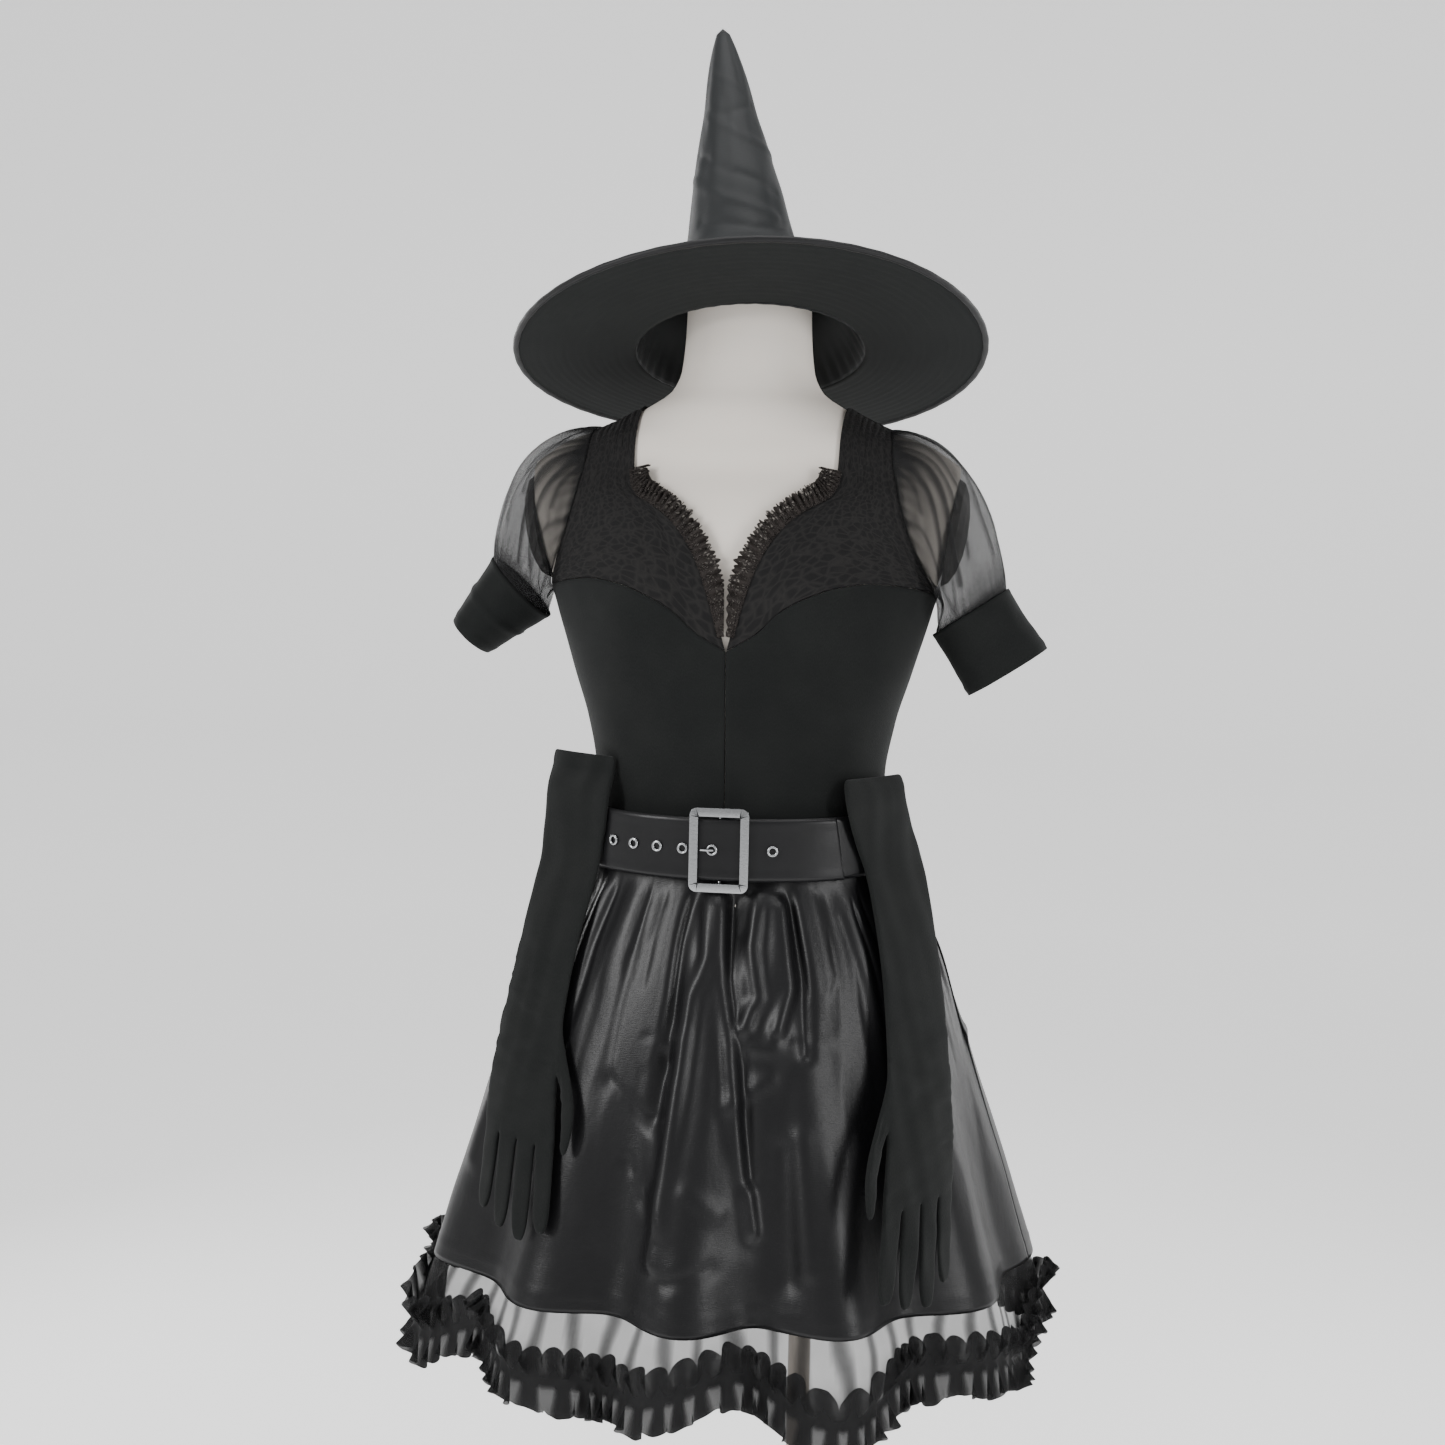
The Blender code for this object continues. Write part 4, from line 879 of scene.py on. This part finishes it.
# Hat, worn tilted back. Crown rows: distance along its axis, radius
crownRows = [(0.0, 0.0920), (0.020, 0.0840), (0.045, 0.0670), (0.065, 0.0555), (0.088, 0.0453),
             (0.145, 0.0352), (0.2075, 0.0222), (0.247, 0.0152), (0.272, 0.0095), (0.287, 0.0050)]
hat = {"columns": 180, "rows": 112, "lean": 0.08, "tip": 0.2936, "brim": 0.190, "rim": 0.0025,
       "gathers": 44, "gatherDepth": 0.0008}
hatPlace = (Matrix.Translation((0.0, 0.010, 1.383)) @ Matrix.Rotation(math.radians(-3.6), 4, "Y")
            @ Matrix.Rotation(math.radians(-17.5), 4, "X"))
# height, width, then points of angle in degrees and distance along the axis
crownCreases = [
    (0.0022, 0.0045, (-80, 0.028), (-40, 0.044), (0, 0.050), (45, 0.040), (85, 0.030)),
    (-0.0024, 0.0050, (-70, 0.045), (-20, 0.062), (30, 0.060), (75, 0.046)),
    (0.0018, 0.0045, (-60, 0.066), (-10, 0.078), (40, 0.070)), (-0.0018, 0.0045, (-40, 0.100), (20, 0.086), (70, 0.096)),
    (0.0020, 0.0050, (-70, 0.150), (-10, 0.118), (50, 0.104)), (-0.0018, 0.0045, (-60, 0.170), (0, 0.142), (60, 0.130)),
    (0.0017, 0.0045, (-50, 0.205), (20, 0.180), (80, 0.172)), (-0.0014, 0.0040, (-70, 0.215), (0, 0.200), (60, 0.214)),
    (0.0013, 0.0040, (-40, 0.245), (40, 0.228)), (0.0020, 0.0060, (110, 0.050), (160, 0.066), (220, 0.052)),
    (-0.0020, 0.0055, (120, 0.090), (180, 0.108), (250, 0.090)), (0.0018, 0.0050, (110, 0.140), (190, 0.160), (260, 0.146)),
]


def hatRing(radius, along, columns, wobble=0.0, bumps=None):
    points = []
    for c in range(columns):
        turn = math.tau * c / columns
        r = radius + (bumps(turn) if bumps else 0.0)
        spot = Vector((-hat["lean"] * along + r * math.sin(turn), -r * math.cos(turn),
                       along + wobble * math.sin(2 * turn + 0.7)))
        points.append((hatPlace @ spot)[:])
    return points


rows = []
for share in steps(0, 1, hat["rows"]):
    along = 0.287 * share
    radius = read(crownRows, along, 1)
    gathering = hat["gatherDepth"] * hump(along, 0.010, 0.012)

    def bumps(turn):
        degrees = math.degrees(turn)
        around = np.array([[(degrees if degrees < 270 else degrees - 360) * 0.0009]])
        lines = [(h, w, *[(a * 0.0009, z) for a, z in path]) for h, w, *path in crownCreases]
        crease = 0.6 * creaseField(around, np.array([[along]]), lines)[0, 0] * ramp(along, 0.010, 0.040)
        crush = 0.0012 * soft(math.cos(turn) * 2.6, math.sin(turn) * 2.6, along * 26) * ramp(along, 0.0, 0.05)
        return (gathering * math.sin(hat["gathers"] * turn) + crease + crush) * min(1, radius / 0.030)
    rows.append(hatRing(radius, along, hat["columns"], bumps=bumps))
tip = hatPlace @ Vector((-hat["lean"] * hat["tip"], 0, hat["tip"]))
piece = clothGrid("hat-crown", np.array(rows), wall["cloth"], around=True, tip=tip[:])
finished(piece, "hat_crown", crownSatin)

inner, outer = crownRows[0][1] + 0.0002, hat["brim"] - 2 * hat["rim"] + 0.0012
rows = [hatRing(r, 0.00035 * math.sin(r * 900), 256, 0.004 * (r / hat["brim"]) ** 2) for r in steps(outer, inner, 36)]
piece = clothGrid("hat-brim", np.array(rows), wall["brim"], around=True)
finished(piece, "hat_brim", felt)

axis = (hatPlace.to_3x3() @ Vector((0, 0, 1))).normalized()
middle = [Vector(p) for p in hatRing(hat["brim"] - hat["rim"], 0.0, 300, 0.004)]
rows = []
for i, point in enumerate(middle):
    away = (middle[(i + 1) % 300] - middle[i - 1]).cross(axis).normalized()
    twill = 1 + 0.05 * math.sin(i * math.tau / 6)
    rows.append([(point + axis * 0.001 + hat["rim"] * twill * (away * math.cos(k * math.tau / 12)
                                                               + axis * math.sin(k * math.tau / 12)))[:]
                 for k in range(12)])
count = len(rows)
faces = [(i * 12 + k, (i + 1) % count * 12 + k, (i + 1) % count * 12 + (k + 1) % 12, i * 12 + (k + 1) % 12)
         for i in range(count) for k in range(12)]
piece = addMesh("hat-binding", np.array(rows).reshape(-1, 3), faces)
finished(piece, "hat_binding", bindingSatin)
print("hat made")


# Long gloves, pressed flat and hung beside the skirt: z, middle in x, half width
gloves = {
    "r": {"facing": 34, "sign": -1, "clear": 0.0020,
          "rows": [(0.770, 0.150, 0.042), (0.800, 0.152, 0.041), (0.830, 0.151, 0.038), (0.870, 0.147, 0.035),
                   (0.920, 0.139, 0.034), (0.970, 0.130, 0.035), (1.020, 0.124, 0.037), (1.062, 0.121, 0.038)]},
    "l": {"facing": 52, "sign": 1, "clear": 0.0031,
          "rows": [(0.745, 0.160, 0.043), (0.775, 0.160, 0.042), (0.810, 0.158, 0.039), (0.860, 0.153, 0.037),
                   (0.910, 0.146, 0.036), (0.960, 0.135, 0.036), (1.010, 0.120, 0.037), (1.050, 0.111, 0.036)]}}
fingers = {"lengths": (0.058, 0.066, 0.070, 0.060), "slit": 0.0018, "columns": 12, "rows": 22}


def outermost(direction, z):
    best = 0.0
    for near in (z - 0.012, z, z + 0.008):
        for angle in range(-90, 91, 5):
            points = [skirtPoint(angle, near) if near < 0.998 else dressPoint(angle, near)]
            if abs(near - belt["middle"]) < belt["width"] * 0.8:
                points.append(beltPoint(angle if angle < 44 else angle - 360, 0))
            best = max([best] + [p.x * direction.x + p.y * direction.y for p in points])
    return best


def buildGlove(side):
    g = gloves[side]
    turn, sign = math.radians(g["facing"]), g["sign"]
    outward = Vector((sign * math.sin(turn), -math.cos(turn), 0))
    across = Vector((math.cos(turn), sign * math.sin(turn), 0))
    reaches = {}

    def spot(z, middle, offset):
        key = round(z, 5)
        if key not in reaches:
            reaches[key] = outermost(outward, z) + g["clear"]
        slide = (sign * middle - outward.x * reaches[key]) / across.x
        sag = outward * (3.0 * max(sign * offset, 0.0) ** 2)
        return outward * reaches[key] + across * (slide + offset) - sag + Vector((0, 0, z))

    count = fingers["columns"]
    top, low = g["rows"][-1][0], g["rows"][0][0]
    points, faces = [], []
    table = [(z, read(g["rows"], z, 1), read(g["rows"], z, 2)) for z in steps(top, low, fingers["rows"])]
    for z, middle, half in table:
        points += [spot(z, middle, half * (2 * c / count - 1)) for c in range(count + 1)]
    for r in range(fingers["rows"]):
        for c in range(count):
            high, foot = r * (count + 1) + c, (r + 1) * (count + 1) + c
            faces.append((foot, foot + 1, high + 1, high))
    z, middle, half = table[-1]
    root, pitch, each = len(points) - count - 1, 2 * half / 4, count // 4
    for finger, length in enumerate(fingers["lengths"]):
        line = tuple(root + each * finger + k for k in range(each + 1))
        centre = -half + pitch * (finger + 0.5)
        for share, width in ((0.08, 0.49), (0.30, 0.49), (0.55, 0.48), (0.78, 0.45), (0.91, 0.36), (1.0, 0.20)):
            reach = pitch * width - fingers["slit"] / 2
            here = len(points)
            points += [spot(z - length * share, middle, centre * (1 + 0.10 * share) + reach * (2 * k / each - 1))
                       for k in range(each + 1)]
            faces += [(here + k, here + k + 1, line[k + 1], line[k]) for k in range(each)]
            line = tuple(range(here, here + each + 1))
    out = -1 if sign > 0 else 1
    edge = 0 if sign > 0 else count
    first = fingers["rows"] - 6
    z, middle, half = table[first + 2]
    line = (first * (count + 1) + edge, (first + 2) * (count + 1) + edge)
    mid = (first + 1) * (count + 1) + edge
    for drop, near, far in ((0.012, 0.006, 0.020), (0.030, 0.010, 0.023), (0.048, 0.011, 0.020), (0.056, 0.013, 0.016)):
        here = len(points)
        points += [spot(z - drop, middle, out * (half + far)), spot(z - drop, middle, out * (half + (near + far) / 2)),
                   spot(z - drop, middle, out * (half + near))]
        before = (line[0], mid, line[1]) if len(line) == 2 else line
        for k in (0, 1):
            quad = (here + k, here + k + 1, before[k + 1], before[k])
            faces.append(quad if out < 0 else tuple(reversed(quad)))
        line = (here, here + 1, here + 2)
    made = addMesh("glove-" + side, points, faces)
    for kind, settings in (("SOLIDIFY", {"thickness": wall["glove"], "offset": 1.0}),
                           ("SUBSURF", {"levels": 2, "render_levels": 2, "boundary_smooth": "ALL"})):
        tool = made.modifiers.new(kind.lower(), kind)
        for key, value in settings.items():
            setattr(tool, key, value)
        bpy.ops.object.select_all(action="DESELECT")
        made.select_set(True)
        bpy.context.view_layer.objects.active = made
        bpy.ops.object.modifier_apply(modifier=tool.name)
    seed = 3.0 if sign > 0 else 12.0
    mesh = made.data
    shifts = []
    for v in mesh.vertices:
        reach = outermostCached(reaches, v.co.z)
        depth = v.co.x * outward.x + v.co.y * outward.y - reach
        side_ = v.co.x * across.x + v.co.y * across.y
        fromTop = top - v.co.z
        # diagonal soft folds, closest together at the wrist
        wrist = hump(v.co.z, low + 0.075, 0.045)
        diagonal = soft(side_ * 26 + v.co.z * 14, v.co.z * (46 + 20 * wrist) - side_ * 16, seed)
        long = soft(side_ * 60, v.co.z * 7, seed + 4)
        amount = 0.0016 * diagonal * (0.6 + 0.9 * wrist) + 0.0010 * long + 0.0008
        cuffEdge = 0.0006 * hump(fromTop, 0.008, 0.003)
        facing = ramp(v.normal.dot(outward), 0.1, 0.8)
        shifts.append(outward * (facing * (amount + cuffEdge)))
    for v, shift in zip(mesh.vertices, shifts):
        v.co += shift
    uv = mesh.uv_layers.new(name="UVMap")
    spots = np.array([(mesh.vertices[l.vertex_index].co.dot(across), mesh.vertices[l.vertex_index].co.z)
                      for l in mesh.loops], np.float32)
    uv.data.foreach_set("uv", spots.ravel())
    mesh.shade_smooth()
    return made


def outermostCached(reaches, z):
    key = min(reaches, key=lambda k: abs(k - z))
    return reaches[key]


for side in "lr":
    piece = buildGlove(side)
    finished(piece, "glove_" + side, jersey)
print("gloves made")


# Studio
studio = {"backdrop": (0.95, 0.95, 0.95), "glow": 0.52, "key": 40, "fill": 22, "top": 20, "rim": 18, "sky": 0.50}
paper = plainMaterial("backdrop paper", studio["backdrop"], 0.95, 0.0, 60.0, 0.02)
paperShader = paper.node_tree.nodes["Principled BSDF"]
paperShader.inputs["Emission Color"].default_value = (1, 1, 1, 1)
paperShader.inputs["Emission Strength"].default_value = studio["glow"]
profile = [(-6.0, 0.0), (4.6, 0.0), (5.4, 0.1), (6.0, 0.4), (6.4, 1.0), (6.6, 2.0), (6.6, 7.0)]
points = [(x, y, z - 0.0002) for y, z in profile for x in (-7.0, 7.0)]
faces = [(2 * i, 2 * i + 1, 2 * i + 3, 2 * i + 2) for i in range(len(profile) - 1)]
backdrop = addMesh("backdrop", points, faces)
backdrop.data.materials.append(paper)


def addLight(name, power, size, place, aim=(0, 0, 1.1)):
    data = bpy.data.lights.new(name, "AREA")
    data.shape, data.size, data.size_y, data.energy = "RECTANGLE", size[0], size[1], power
    lamp = bpy.data.objects.new(name, data)
    lamp.location = place
    lamp.rotation_euler = (Vector(aim) - Vector(place)).to_track_quat("-Z", "Y").to_euler()
    bpy.context.scene.collection.objects.link(lamp)


addLight("key", studio["key"], (0.45, 1.5), (-1.7, -1.6, 2.1))
addLight("fill", studio["fill"], (0.35, 1.5), (1.9, -1.3, 1.5))
addLight("top", studio["top"], (1.6, 1.0), (0.1, -0.3, 2.9))
addLight("rim left", studio["rim"], (0.5, 1.6), (-1.5, 1.1, 1.5))
addLight("rim right", studio["rim"], (0.5, 1.6), (1.6, 1.1, 1.5))
world = bpy.data.worlds.new("studio sky")
world.use_nodes = True
world.node_tree.nodes["Background"].inputs["Color"].default_value = (1, 1, 1, 1)
world.node_tree.nodes["Background"].inputs["Strength"].default_value = studio["sky"]
bpy.context.scene.world = world

view = {"distance": 1.5, "azimuth": 7.5, "height": 1.225, "pitch": 5.3, "yaw": 0.57, "roll": 1.2, "lens": 46.1}
lens = bpy.data.cameras.new("camera")
lens.lens, lens.sensor_width = view["lens"], 36.0
camera = bpy.data.objects.new("camera", lens)
swing = math.radians(view["azimuth"])
stand = Matrix.Translation((view["distance"] * math.sin(swing), -view["distance"] * math.cos(swing), view["height"]))
camera.matrix_world = (stand @ Matrix.Rotation(swing + math.radians(view["yaw"]), 4, "Z")
                       @ Matrix.Rotation(math.radians(90 - view["pitch"]), 4, "X")
                       @ Matrix.Rotation(math.radians(view["roll"]), 4, "Z"))
bpy.context.scene.collection.objects.link(camera)
bpy.context.scene.camera = camera
